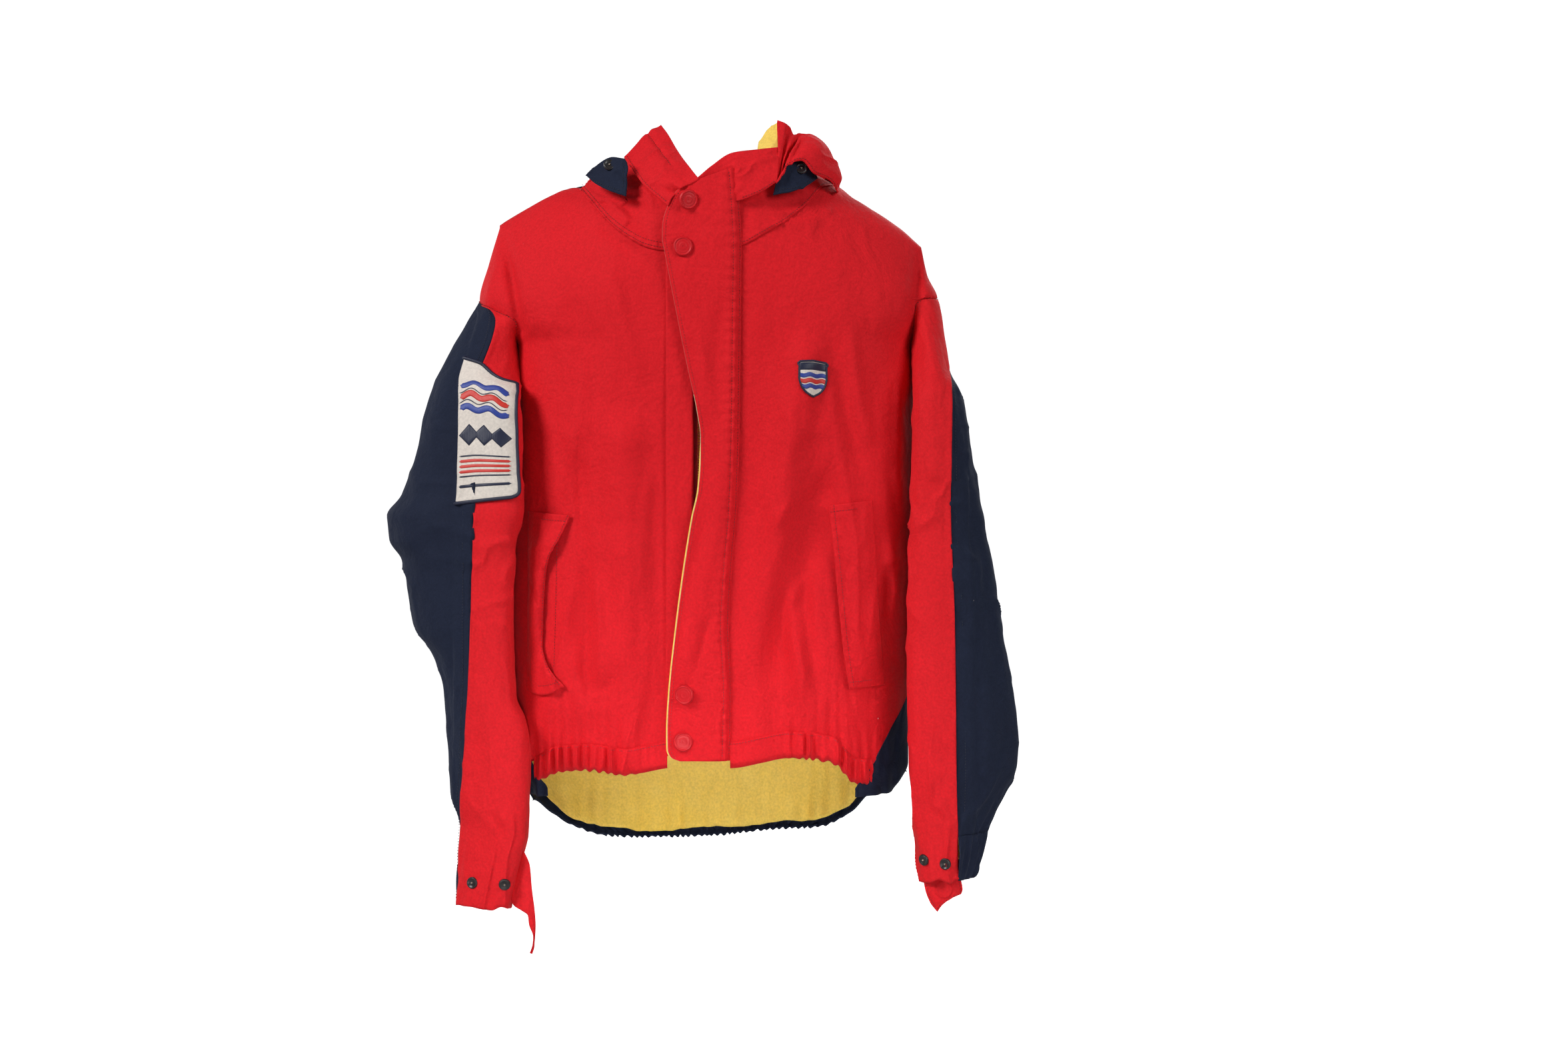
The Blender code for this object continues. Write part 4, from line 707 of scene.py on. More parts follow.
# ---- Hem bands of the fronts ---------------------------------------------------------------------
# The bottom of each front is turned up round a strip of elastic. Near the sides the elastic gathers the
# cloth into close pleats. Towards the centre front the band lies flat, with one row of stitching above it.
for side, title in SIDES:
    start = 0.0215 if side > 0 else -0.0420
    seam_end = side * (0.1790 if side < 0 else 0.1660)
    across = across_by(260, start, seam_end)
    v = down_by(18)
    low = FRONT_HEM[side](across)
    gathered = ease(0.072, 0.095, np.abs(across - 0.006))
    pleat = np.sin(across * 690
                   + 1.6 * ripple(across * 55, across * 0, 71)) * (0.7 + 0.3 * ripple(across * 90, across,
                                                                                      72))
    scallop = 0.0016 * gathered * pleat
    z = (low + HEM_BAND + 0.0010) * (1 - v) + (low + scallop) * v
    x = across + 0 * z
    band = front_surface(x, z)
    swell = np.sin(np.clip(v, 0, 1) * math.pi) ** 0.6
    band[..., 1] -= 0.0014 + gathered * (0.0032 * swell
                                         + 0.0030 * pleat
                                         * (0.35 + 0.65 * swell)) + 0.0010 * (1 - gathered) * swell
    band[..., 1] += 0.0030 * ease(0.82, 1.0, v)
    cloth("hem_band_cloth_" + title, band, RED, "root", ("hem_band_" + title,), trunk,
          thickness=DOUBLED_THICKNESS)
    row_x = np.linspace(start, seam_end * 0.99, 240)
    line = front_surface(row_x, FRONT_HEM[side](row_x) + HEM_BAND - 0.0015)
    line[:, 1] -= 0.0026 + 0.0022 * ease(0.072, 0.095, np.abs(row_x - 0.006)) * np.sin(row_x * 690)
    stitches("hem_stitching_" + title, [line], DARK_THREAD, "root")

# ---- The back ------------------------------------------------------------------------------------
# One navy panel, cut longer than the fronts, with its own gathered hem band and a small navy gusset on
# each side. Its yellow lining is what shows below the front hem. The cloth hangs in soft upright folds.
NAVY = poplin("navy_poplin", (0.0090, 0.0130, 0.0310), (0.0190, 0.0260, 0.0500), fading=0.40, rough=0.82,
              sheen=0.03,
              lint=0.35, specks=0.0, tint=(0.6, 0.7, 1.0, 1.0))
BACK_TOP = through(((-0.2225, -0.0378), (-0.1940, -0.0203), (-0.1645, -0.0050), (-0.1280, 0.0060),
                    (-0.1100, 0.0040),
                    (-0.0600, -0.0030), (0.0, -0.0050), (0.0600, -0.0030), (0.1150, 0.0020),
                    (0.1330, -0.0010),
                    (0.1640, -0.0190), (0.1974, -0.0408), (0.2200, -0.0606)))
BACK_HEM = through(((-0.2100, -0.6300), (-0.1900, -0.6700), (-0.1563, -0.6863), (-0.1063, -0.6900),
                    (0.0, -0.6885),
                    (0.0836, -0.6827), (0.1488, -0.6769), (0.1729, -0.6615), (0.1855, -0.6400),
                    (0.2065, -0.6080)))
BACK_REACH = 0.205


def back_folds(x, z):
    lower = ease(-0.10, -0.45, z)
    lift = 0.0052 * ripple(x * 10 + 0.6 * ripple(x * 5, z * 4, 83), z * 1.4, 84) * (0.3 + 0.7 * lower)
    lift += 0.0020 * ripple(x * 30, z * 4.0, 85) + 0.0020 * crease(x * 15, z * 3.0, 86, 5.0) * lower
    lift -= 0.0015 * crease(x * 26 + z * 5, z * 8, 87, 5.0)
    lift += 0.0006 * ripple(x * 105, z * 60, 88)
    rise = z - BACK_HEM(x) - HEM_BAND
    flute = np.sin(x * 470 + 2.4 * ripple(x * 38, z * 12, 89)) * (0.65 + 0.35 * ripple(x * 66, z * 9, 90))
    lift += 0.0028 * flute * np.exp(-np.clip(rise, 0.0, 1.0) / 0.045)
    lift += 0.0060 * np.exp(-((rise - 0.055) / 0.045) ** 2)
    half = np.where(x < 0, HALF_WIDTH[-1](z), HALF_WIDTH[1](z))
    return lift * np.clip((half - np.abs(x)) / 0.014, 0.0, 1.0)


def back_surface(x, z):
    return np.stack((x, body_depth(x, z) + back_folds(x, z), z), axis=-1)


def back_grid(top, low, rows, columns, shrink=0.0):
    u = np.sin(np.linspace(-0.5, 0.5, columns) * math.pi)[None, :]
    v = down_by(rows)
    tip = np.where(u < 0, SHOULDER_TIP[-1], SHOULDER_TIP[1])
    z = top(u * tip) * (1 - v) + low(u * BACK_REACH) * v
    x = np.where(u < 0, out_to_edge(-1, z, -u), out_to_edge(1, z, u))
    full = np.where(u < 0, HALF_WIDTH[-1](z), HALF_WIDTH[1](z))
    return np.where(z < -0.42, u * full, x) - u * shrink, z


x, z = back_grid(BACK_TOP, lambda at: BACK_HEM(at) + HEM_BAND, 190, 150)
shell = back_surface(x, z)
for end in (0, -1):
    shell[:, end, 1] += sewn_to_back(z[:, end]) * (0.0005 - shell[:, end, 1])
shoulder = ease(0.125, 0.150, np.abs(x[0]))
shell[0, :, 1] += shoulder * (0.0006 - shell[0, :, 1])
shell[0, :, 2] += shoulder * (RIDGE(x[0]) - 0.0008 - shell[0, :, 2])
cloth("back_cloth", shell, NAVY, "root", ("back_panel",), trunk)
x, z = back_grid(lambda at: BACK_TOP(at) - 0.010, lambda at: BACK_HEM(at) + 0.0085, 150, 110, shrink=0.008)
inner = lining_surface(x, z, True)
bottom = ease(0.80, 1.0, down_by(150))
inner[..., 1] += bottom * (0.0024 * np.sin(x * 330 + 2 * ripple(x * 30, x * 0, 91))
                           + 0.0030 * ripple(x * 26, z * 30, 92) - 0.002)
inner[..., 2] += bottom * 0.0025 * ripple(x * 40, x * 0, 93)
cloth("back_lining_cloth", inner, YELLOW, "root", ("back_lining",), trunk,
      thickness=LINING_THICKNESS)
u = np.sin(np.linspace(-0.5, 0.5, 420) * math.pi)[None, :]
v = down_by(18)
low = BACK_HEM(u * BACK_REACH)
pleat = np.sin(u * 150 + 1.8 * ripple(u * 12, u * 0, 94)) * (0.7 + 0.3 * ripple(u * 20, u * 0, 95))
z = (low + HEM_BAND + 0.0010) * (1 - v) + (low + 0.0014 * pleat) * v
x = u * np.where(u < 0, HALF_WIDTH[-1](z), HALF_WIDTH[1](z))
band = back_surface(x, z)
swell = np.sin(v * math.pi) ** 0.6
band[..., 1] += 0.0012 + 0.0030 * swell + 0.0028 * pleat * (0.35 + 0.65 * swell) - 0.0040 * ease(0.80, 1.0, v)
band[:, (0, -1), 1] = 0.0010
cloth("hem_band_back_cloth", band, NAVY, "root", ("hem_band_back",), trunk,
      thickness=DOUBLED_THICKNESS)
for side, title in SIDES:
    v = down_by(60)
    u = across_by(22)
    z = -0.528 - 0.1015 * v + 0 * u
    seam = PANEL_EDGE[side](z)
    x = side * (seam - 0.0010 + (HALF_WIDTH[side](z) - seam + 0.0010) * u)
    wedge = front_surface(x, z, 0.0006)
    wedge[..., 1] -= 0.0024 * np.sin(x * 420 + z * 90) * ease(-0.57, -0.62, z)
    wedge[:, -1, 1] = -0.0005
    cloth("side_gusset_cloth_" + title, wedge, NAVY, "root", ("side_gusset_" + title,), trunk)

# ---- The sleeves ---------------------------------------------------------------------------------
# Each sleeve is a red front part and a navy back part, felled together along the arm. The top is sewn to
# the dropped shoulder with two rows of stitches, and the navy part is gathered into the cuff by elastic.
SLEEVE_OUTER = {
    -1: through(((-0.118, 0.2432), (-0.147, 0.2589), (-0.181, 0.2761), (-0.216, 0.2885), (-0.285, 0.3044),
                 (-0.319, 0.3167), (-0.343, 0.3335), (-0.366, 0.3322), (-0.388, 0.3188), (-0.457, 0.3044),
                 (-0.491, 0.2837), (-0.526, 0.2748), (-0.629, 0.2692), (-0.663, 0.2582), (-0.739, 0.2589))),
    1: through(((-0.118, 0.2385), (-0.163, 0.2436), (-0.193, 0.2470), (-0.215, 0.2574), (-0.285, 0.2692),
                (-0.353, 0.2810), (-0.388, 0.2906), (-0.457, 0.3000), (-0.526, 0.3113), (-0.578, 0.3162),
                (-0.600, 0.3150), (-0.630, 0.3016), (-0.665, 0.2837), (-0.700, 0.2733), (-0.712, 0.2700))),
}
SLEEVE_INNER = {
    -1: through(((-0.118, 0.1960), (-0.182, 0.1965), (-0.257, 0.1920), (-0.329, 0.1900), (-0.380, 0.1965),
                 (-0.457, 0.1979), (-0.528, 0.1958), (-0.548, 0.1870), (-0.584, 0.1814), (-0.667, 0.1840),
                 (-0.690, 0.1900), (-0.739, 0.2013))),
    1: through(((-0.118, 0.2080), (-0.174, 0.2090), (-0.276, 0.2060), (-0.351, 0.2040), (-0.511, 0.1990),
                (-0.591, 0.2005), (-0.670, 0.2091), (-0.712, 0.2140))),
}
SLEEVE_SEAM = {
    -1: through(((-0.118, 0.2375), (-0.150, 0.2360), (-0.252, 0.2350), (-0.337, 0.2363), (-0.454, 0.2397),
                 (-0.556, 0.2444), (-0.646, 0.2500), (-0.739, 0.2540))),
    1: through(((-0.118, 0.2375), (-0.196, 0.2450), (-0.320, 0.2434), (-0.455, 0.2475), (-0.607, 0.2495),
                (-0.712, 0.2515))),
}
SLEEVE_BOTTOM = {-1: -0.739, 1: -0.712}
SLEEVE_FORWARD = through(((-0.118, 0.0), (-0.180, -0.026), (-0.240, -0.056), (-0.739, -0.058)))
SLEEVE_HALF_DEPTH = through(((-0.118, 0.0540), (-0.180, 0.0480), (-0.240, 0.0360), (-0.500, 0.0360),
                             (-0.650, 0.0320), (-0.739, 0.0280)))
SLEEVE_SLANT = through(((-0.118, 0.700), (-0.165, 0.500), (-0.215, 0.0), (-0.739, 0.0)))
SLEEVE_TURN = through(((-0.118, 0.0), (-0.180, 0.150), (-0.240, 0.400), (-0.739, 0.400)))
CUFF_HEIGHT = 0.045
SLEEVE_TOP = -0.118
REAR_SEAM = math.radians(200.0)


def armhole(side, angle):
    """The seam round the dropped shoulder: angle 0 is its outermost point, 90 degrees the front."""
    down = (1 - np.cos(angle)) / 2
    z = (-0.1172 if side < 0 else -0.1146) * (1 - down) - 0.1640 * down
    x = side * PANEL_EDGE[side](z)
    front = np.stack((x, -body_depth(x, z) - front_folds(x, z), z), axis=-1)
    rear = np.stack((x, body_depth(x, z) + back_folds(x, z), z), axis=-1)
    return np.where((np.sin(angle) >= 0)[..., None], front, rear)


def sleeve_tube(side, z, angle):
    outer, inner = SLEEVE_OUTER[side](z), SLEEVE_INNER[side](z)
    half = (outer - inner) / 2
    reach = np.cos(angle) * half
    depth = np.sign(np.sin(angle)) * np.abs(np.sin(angle)) ** 0.85 * SLEEVE_HALF_DEPTH(z)
    y = SLEEVE_FORWARD(z) + SLEEVE_TURN(z) * reach - depth
    return np.stack((side * ((outer + inner) / 2 + reach), y, z - SLEEVE_SLANT(z) * (half - reach)), axis=-1)


def sleeve_relief(side, z, angle):
    """Folds of the hanging sleeve: soft lengthwise ones, and sharper ones across the elbow and the cuff."""
    around_it = angle * 0.045
    lift = 0.0026 * ripple(around_it * 26, z * 3.0, 101 + side) + 0.0014 * ripple(around_it * 60, z * 7.0,
                                                                                  103 + side)
    elbow = np.exp(-((z + 0.37) / 0.10) ** 2)
    lift += 0.0030 * (crease(around_it * 20, z * 22, 105 + side, 3.0) - 0.2) * (0.25 + elbow)
    wrist = ease(-0.52, -0.66, z)
    lift += 0.0026 * (crease(around_it * 34, z * 12, 107 + side, 3.0) - 0.2) * (0.2 + wrist)
    lift += 0.0006 * ripple(around_it * 120, z * 70, 109)
    outer, inner = SLEEVE_OUTER[side](z), SLEEVE_INNER[side](z)
    past_fold = (outer + inner) / 2 + (outer - inner) / 2 * np.cos(angle) - SLEEVE_SEAM[side](z) - 0.0185
    in_front = ease(0.0, 0.35, np.sin(angle))
    lift -= 0.0036 * in_front * ease(0.0, 0.0035, past_fold) * np.exp(-np.clip(past_fold, 0.0, 1.0) / 0.016)
    return lift * ease(SLEEVE_TOP, -0.165, z)


def sleeve_surface(side, z, angle, out=0.0):
    tube = sleeve_tube(side, z, angle)
    blended = ease(0.0, 0.085, SLEEVE_TOP - z)[..., None]
    base = armhole(side, angle) * (1 - blended) + tube * blended
    middle = np.stack((side * (SLEEVE_OUTER[side](z) + SLEEVE_INNER[side](z)) / 2, SLEEVE_FORWARD(z), z),
                      axis=-1)
    away = base - middle
    away[..., 2] = 0.0
    away /= np.maximum(np.linalg.norm(away, axis=-1, keepdims=True), 1e-6)
    return base + away * (sleeve_relief(side, z, angle) + out)[..., None]


def seam_angle(side, z):
    outer, inner = SLEEVE_OUTER[side](z), SLEEVE_INNER[side](z)
    share = (SLEEVE_SEAM[side](z) - (outer + inner) / 2) / ((outer - inner) / 2)
    return np.arccos(np.clip(share, -0.95, 0.97))


def arm(side):
    def nearest(grid):
        z = np.clip(grid[..., 2], SLEEVE_BOTTOM[side], -0.16)
        return np.stack((side * (SLEEVE_OUTER[side](z) + SLEEVE_INNER[side](z)) / 2, SLEEVE_FORWARD(z), z),
                        axis=-1)
    return nearest


SLEEVE_RED = poplin("sleeve_red_poplin", (0.655, 0.0085, 0.0145), (0.715, 0.022, 0.028), specks=0.1)
NAVY_THREAD = thread("navy_thread", (0.008, 0.011, 0.024))
for side, title in SIDES:
    bottom = SLEEVE_BOTTOM[side]
    z = down_by(210, SLEEVE_TOP, bottom)
    u = across_by(66)
    first, last = seam_angle(side, z) - 0.02, REAR_SEAM + 0.03
    angle = first + (last - first) * u
    z = z + 0 * u
    felled = 0.0007 + 0.0017 * (1 - ease(0.0, 0.10, u)) + 0 * z
    red = sleeve_surface(side, z, angle, felled)
    wavy = ease(bottom + 0.02, bottom, z)
    red[..., 2] += wavy * 0.0030 * ripple(angle * 2.6, z * 0, 111 + side)
    part = cloth("sleeve_front_cloth_" + title, red, SLEEVE_RED, None, ("sleeve_front_" + title,),
                 arm(side))
    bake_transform(part)
    cuff_top = bottom + CUFF_HEIGHT
    z = down_by(195, SLEEVE_TOP, cuff_top)
    u = across_by(76)
    first, last = REAR_SEAM, math.tau + seam_angle(side, z)
    angle = first + (last - first) * u
    z = z + 0 * u
    gather = ease(cuff_top + 0.06, cuff_top, z)
    flutes = 0.0030 * gather * np.sin(angle * 19 + 1.5 * ripple(angle * 3, z * 20, 113)) * np.sin(u * math.pi)
    navy = sleeve_surface(side, z, angle, flutes)
    part = cloth("sleeve_back_cloth_" + title, navy, NAVY, None, ("sleeve_back_" + title,),
                 arm(side))
    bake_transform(part)
    z = np.linspace(cuff_top + 0.001, bottom, 22)[:, None]
    u = across_by(190)
    first, last = REAR_SEAM, math.tau + seam_angle(side, z) - 0.02
    angle = first + (last - first) * u
    z = z + 0 * u
    swell = np.sin(np.clip((cuff_top - z) / CUFF_HEIGHT, 0.0, 1.0) * math.pi) ** 0.6
    pleats = np.sin(angle * 26 + 1.4
                    * ripple(angle * 4, z * 0, 114)) * (0.4 + 0.6 * swell) * np.sin(u * math.pi) ** 0.3
    gathered = sleeve_surface(side, z, angle, 0.0010 + 0.0018 * swell + 0.0024 * pleats)
    cloth("cuff_gather_cloth_" + title, gathered, NAVY, "sleeve_" + title, ("cuff_gather_" + title,),
          arm(side), thickness=DOUBLED_THICKNESS)
    z = np.linspace(-0.185, bottom + 0.020, 110)[:, None]
    angle = np.linspace(0.0, math.tau, 48, endpoint=False)[None, :] + 0 * z
    z = z + 0 * angle
    tube = sleeve_tube(side, z, angle)
    middle = arm(side)(tube)
    toward = tube - middle
    lining = middle + toward * (1 - 0.0085 / np.maximum(np.linalg.norm(toward, axis=-1, keepdims=True),
                                                        0.012))
    cloth("sleeve_lining_cloth_" + title, lining, YELLOW, "sleeve_" + title, ("sleeve_lining_" + title,),
          arm(side), thickness=LINING_THICKNESS, closed=True)
    top_row = np.linspace(0.10, math.pi * 0.86, 120)
    rows = []
    for down in (0.0022, 0.0090):
        row = sleeve_surface(side, SLEEVE_TOP - down + 0 * top_row, top_row, 0.0003 + 0 * top_row)
        rows.append(row + ON_CLOTH)
    stitches("armhole_stitching_" + title, rows, DARK_THREAD, "sleeve_" + title)
    zs = np.linspace(-0.125, bottom + 0.003, 300)
    seam_row = sleeve_surface(side, zs, seam_angle(side, zs) - 0.17, 0.0004 + 0 * zs)
    stitches("sleeve_seam_stitching_" + title, [seam_row], NAVY_THREAD, "sleeve_" + title)
    cuff_turn = np.linspace(seam_angle(side, np.array(bottom + 0.040)) + 0.05, math.pi * 0.98, 160)
    cuff_row = sleeve_surface(side, bottom + 0.040 + 0 * cuff_turn, cuff_turn, 0.0003 + 0 * cuff_turn)
    stitches("cuff_stitching_" + title, [cuff_row], DARK_THREAD, "sleeve_" + title)

# ---- The cuff studs ------------------------------------------------------------------------------
# Two dark pressed studs on the red side of each cuff: a dished ring of black enamelled brass that is
# clinched through the cloth, round a bright post.
def moulding(title, colour, rough, metal=0.0, coat=0.0, wear=(0.5, 0.4, 0.4)):
    """Moulded or enamelled hardware, with fine scratches and paler rubbed patches."""
    material, tree, shader = new_material(title)
    place = node(tree, 'TexCoord').outputs["Object"]
    rub = node(tree, 'TexNoise', at_Vector=place, at_Scale=160.0, at_Detail=6.0, at_Roughness=0.65)
    worn = node(tree, 'MapRange', at0=rub.outputs["Fac"], at1=0.56, at2=0.74, at3=0.0, at4=0.30)
    mixed = node(tree, 'Mix', data_type='RGBA', at0=worn.outputs[0])
    mixed.inputs[6].default_value = (*colour, 1.0)
    mixed.inputs[7].default_value = (*wear, 1.0)
    tree.links.new(mixed.outputs[2], shader.inputs["Base Color"])
    gloss = node(tree, 'MapRange', at0=rub.outputs["Fac"], at1=0.3, at2=0.7, at3=rough - 0.06,
                 at4=rough + 0.12)
    tree.links.new(gloss.outputs[0], shader.inputs["Roughness"])
    scratch = node(tree, 'TexNoise',
                   at_Vector=node(tree, 'Mapping', at0=place, at3=(900.0, 900.0, 90.0)).outputs[0],
                   at_Scale=1.0, at_Detail=2.0)
    bump = node(tree, 'Bump', at_Strength=0.12, at_Distance=0.0002, at_Height=scratch.outputs["Fac"])
    tree.links.new(bump.outputs[0], shader.inputs["Normal"])
    shader.inputs["Metallic"].default_value = metal
    shader.inputs["Coat Weight"].default_value = coat
    shader.inputs["Coat Roughness"].default_value = 0.25
    return material


STUD_BLACK = moulding("stud_enamel", (0.010, 0.008, 0.009), 0.36, coat=0.2, wear=(0.07, 0.06, 0.06))
STUD_BRASS = moulding("stud_post", (0.62, 0.50, 0.42), 0.26, metal=1.0, wear=(0.80, 0.72, 0.62))
PRESSED_THICKNESS = 0.0003
STUD_RING = ((0.0004, 0.0015), (0.0018, 0.0014), (0.0030, 0.0014), (0.0037, 0.0017), (0.0044, 0.0023),
             (0.0052, 0.0024),
             (0.0057, 0.0019), (0.0060, 0.0009), (0.0060, 0.0000), (0.0052, -0.0003))
STUD_POST = ((0.0001, 0.0030), (0.0004, 0.0030), (0.0007, 0.0027), (0.0010, 0.0021), (0.0010, 0.0010))


def turned(profile, centre, outward, around=36):
    """A grid turned from a profile of (radius, height) pairs, standing on a point of the cloth."""
    outward = np.array(outward, float) / np.linalg.norm(outward)
    side = np.cross(outward, (0.0, 0.0, 1.0))
    side /= np.linalg.norm(side)
    up = np.cross(side, outward)
    angle = np.linspace(0.0, math.tau, around, endpoint=False)[None, :, None]
    radius, height = np.array(profile).T[..., None, None]
    return np.array(centre) + radius * (np.cos(angle) * side + np.sin(angle) * up) + height * outward


def snap_stud(name, centre, outward, body, nodes):
    def below(grid):
        return grid.mean(axis=(0, 1)) - np.array(outward) * 0.004 + 0 * grid

    cloth(name + "_ring", turned(STUD_RING, centre, outward), STUD_BLACK, body, nodes, below,
          thickness=PRESSED_THICKNESS, closed=True)
    cloth(name + "_post", turned(STUD_POST, centre, outward, 24), STUD_BRASS, body, (), below,
          thickness=THREAD_THICKNESS, closed=True)


CUFF_STUDS = {-1: ((0.2396, -0.7146), (0.2075, -0.7146)), 1: ((0.2168, -0.6906), (0.2392, -0.6940))}


def angle_at(side, z, reach):
    """The angle round the sleeve at which its front lies a given distance out."""
    outer, inner = SLEEVE_OUTER[side](z), SLEEVE_INNER[side](z)
    return np.arccos(np.clip((reach - (outer + inner) / 2) / ((outer - inner) / 2), -0.985, 0.985))


for side, title in SIDES:
    for number, (reach, height) in enumerate(CUFF_STUDS[side], 1):
        z = np.array(height) + np.array((0.0, 0.0, 0.003))
        turn = angle_at(side, np.array(height), reach) + np.array((0.0, 0.06, 0.0))
        middle, across, above = sleeve_surface(side, z, turn, 0 * z)
        outward = np.cross(across - middle, above - middle)
        outward *= -1.0 if outward[1] > 0 else 1.0
        snap_stud(f"cuff_snap_{title}_{number}", middle, outward, "sleeve_" + title,
                  (f"cuff_stud_{title}_{number}",))

# ---- The cuff tabs -------------------------------------------------------------------------------
# Red straps that narrow the cuffs. The right one has twisted and hangs in a point; the left one is tucked
# behind its cuff and shows its stitched edge and the round of the cap on its far face.
def spaced(points, count):
    """Points evenly spaced along a smooth line through the given ones."""
    points = np.array(points, float)
    reach = np.concatenate(([0.0], np.cumsum(np.linalg.norm(np.diff(points, axis=0), axis=1))))
    even = np.linspace(0.0, reach[-1], count)
    return np.stack([through(list(zip(reach, points[:, k])))(even) for k in range(points.shape[1])], axis=-1)


def spanned(top, bottom, left, right, rows, columns):
    """A sheet spanned between four edges that share their corners."""
    a, b = spaced(top, columns), spaced(bottom, columns)
    c, d = spaced(left, rows), spaced(right, rows)
    u = np.linspace(0.0, 1.0, columns)[None, :, None]
    v = np.linspace(0.0, 1.0, rows)[:, None, None]
    corners = (a[0] * (1 - u) + a[-1] * u) * (1 - v) + (b[0] * (1 - u) + b[-1] * u) * v
    return a[None] * (1 - v) + b[None] * v + c[:, None] * (1 - u) + d[:, None] * u - corners


def front_plane(grid):
    return grid + np.array((0.0, 1.0, 0.0))


TAB_FACE = -0.0800
left_line = spaced(((-0.1912, -0.6800), (-0.1990, -0.7080), (-0.2015, -0.7300), (-0.1991, -0.7372),
                    (-0.1903, -0.7431),
                    (-0.1842, -0.7479), (-0.1829, -0.7573), (-0.1788, -0.7695), (-0.1790, -0.7790),
                    (-0.1810, -0.7864)), 110)
right_line = spaced(((-0.1897, -0.6800), (-0.1818, -0.6985), (-0.1802, -0.7188), (-0.1772, -0.7424),
                     (-0.1761, -0.7594),
                     (-0.1772, -0.7763), (-0.1804, -0.7864)), 110)
s = np.linspace(0.0, 1.0, 24)[None, :, None]
flat = left_line[:, None] * (1 - s) + right_line[:, None] * s
x, z = flat[..., 0], flat[..., 1]
s = s[..., 0] + 0 * x
y = TAB_FACE + 0.0060 * (1 - s) * ease(-0.745, -0.700,
                                       z) - 0.0020 * np.sin(s * math.pi) + 0.0012 * ripple(x * 90, z * 60,
                                                                                           115)
tail = np.stack((x, y, z), axis=-1)
tab = cloth("cuff_tab_cloth_right", tail, SLEEVE_RED, None, ("cuff_tab_right",), front_plane,
            thickness=0.0015)
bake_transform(tab)
tail = spanned(((0.2165, -0.7060), (0.2350, -0.7050), (0.2520, -0.7030)),
               ((0.2316, -0.7445), (0.2370, -0.7372), (0.2446, -0.7316), (0.2560, -0.7262)),
               ((0.2165, -0.7060), (0.2195, -0.7225), (0.2245, -0.7350), (0.2316, -0.7445)),
               ((0.2520, -0.7030), (0.2560, -0.7130), (0.2574, -0.7215), (0.2560, -0.7262)), 60, 50)
x, z = tail[..., 0], tail[..., 1]
round_cap = ease(0.0095, 0.0078, np.hypot(x - 0.2385, z + 0.7215))
y = TAB_FACE - 0.0016 * round_cap + 0.0010 * ripple(x * 90, z * 70, 116) - 0.0008 * crease(x * 70, z * 50,
                                                                                           117, 3.0)
tail = np.stack((x, y, z), axis=-1)
tab = cloth("cuff_tab_cloth_left", tail, SLEEVE_RED, None, ("cuff_tab_left",), front_plane,
            thickness=0.0015)
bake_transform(tab)
rows = [tail[3:-2, 3] + ON_CLOTH, tail[-4, 3:-3] + ON_CLOTH,
        tail[20:-2, -4] + ON_CLOTH]
stitches("cuff_tab_stitching_left", rows, DARK_THREAD, "cuff_tab_left")

# ---- The sleeve patch ----------------------------------------------------------------------------
# A pale twill patch with a thick overlocked navy edge, sewn across the right sleeve's seam so that its
# outer side folds away with the sleeve. The plain emblem on it is satin stitch: waves, diamonds and bars.
def twill(title, cloth_colour, soiled):
    """Woven twill: fine slanting ribs, and a little handling dirt."""
    material, tree, shader = new_material(title)
    age = node(tree, 'Group', node_tree=ageing, at_Cloth=(*cloth_colour, 1.0), at_Faded=(*soiled, 1.0),
               at_Fading=0.7, at_Lint=0.1, at_Specks=0.1)
    tree.links.new(age.outputs["Color"], shader.inputs["Base Color"])
    place = node(tree, 'TexCoord').outputs["Object"]
    ribs = node(tree, 'TexWave', at_Vector=node(tree, 'Mapping', at0=place, at2=(0.0, 0.7, 0.0)).outputs[0],
                at_Scale=260.0,
                at_Distortion=0.6)
    bump = node(tree, 'Bump', at_Strength=0.4, at_Distance=0.0002, at_Height=ribs.outputs["Fac"])
    tree.links.new(bump.outputs[0], shader.inputs["Normal"])
    rough = node(tree, 'MapRange', at0=age.outputs["Dullness"], at1=0.0, at2=1.0, at3=0.72, at4=0.88)
    tree.links.new(rough.outputs[0], shader.inputs["Roughness"])
    shader.inputs["Specular IOR Level"].default_value = 0.25
    return material


def satin(title, colour):
    """Rayon embroidery thread laid side by side, with a soft shine."""
    material = thread(title, colour)
    shader = material.node_tree.nodes["Principled BSDF"]
    shader.inputs["Roughness"].default_value = 0.42
    return material


PATCH_CLOTH = twill("patch_twill", (0.66, 0.60, 0.54), (0.74, 0.66, 0.60))
SATIN_NAVY = satin("navy_satin_stitch", (0.010, 0.014, 0.042))
SATIN_BLUE = satin("blue_satin_stitch", (0.022, 0.050, 0.300))
SATIN_RED = satin("red_satin_stitch", (0.620, 0.030, 0.020))


PATCH_WIDE, PATCH_TALL = 0.057, 0.130
PATCH_CORNER = 0.0060


def patch_point(p, q, out=0.0):
    """p runs from the folded outer side (0) to the inner side (1), q from the top to the bottom."""
    z = (-0.1825 - 0.0150 * ease(0.22, 1.0, p)) * (1 - q) + (-0.3297 * (1 - p) - 0.3229 * p) * q
    reach = (SLEEVE_SEAM[-1](z) + 0.0178) * (1 - p) + (0.1992 * (1 - q) + 0.1964 * q) * p
    tucked = 0.0080 * ease(0.0, -0.05, p)
    return sleeve_surface(-1, z, angle_at(-1, z, reach), 0.0034 + out - tucked)


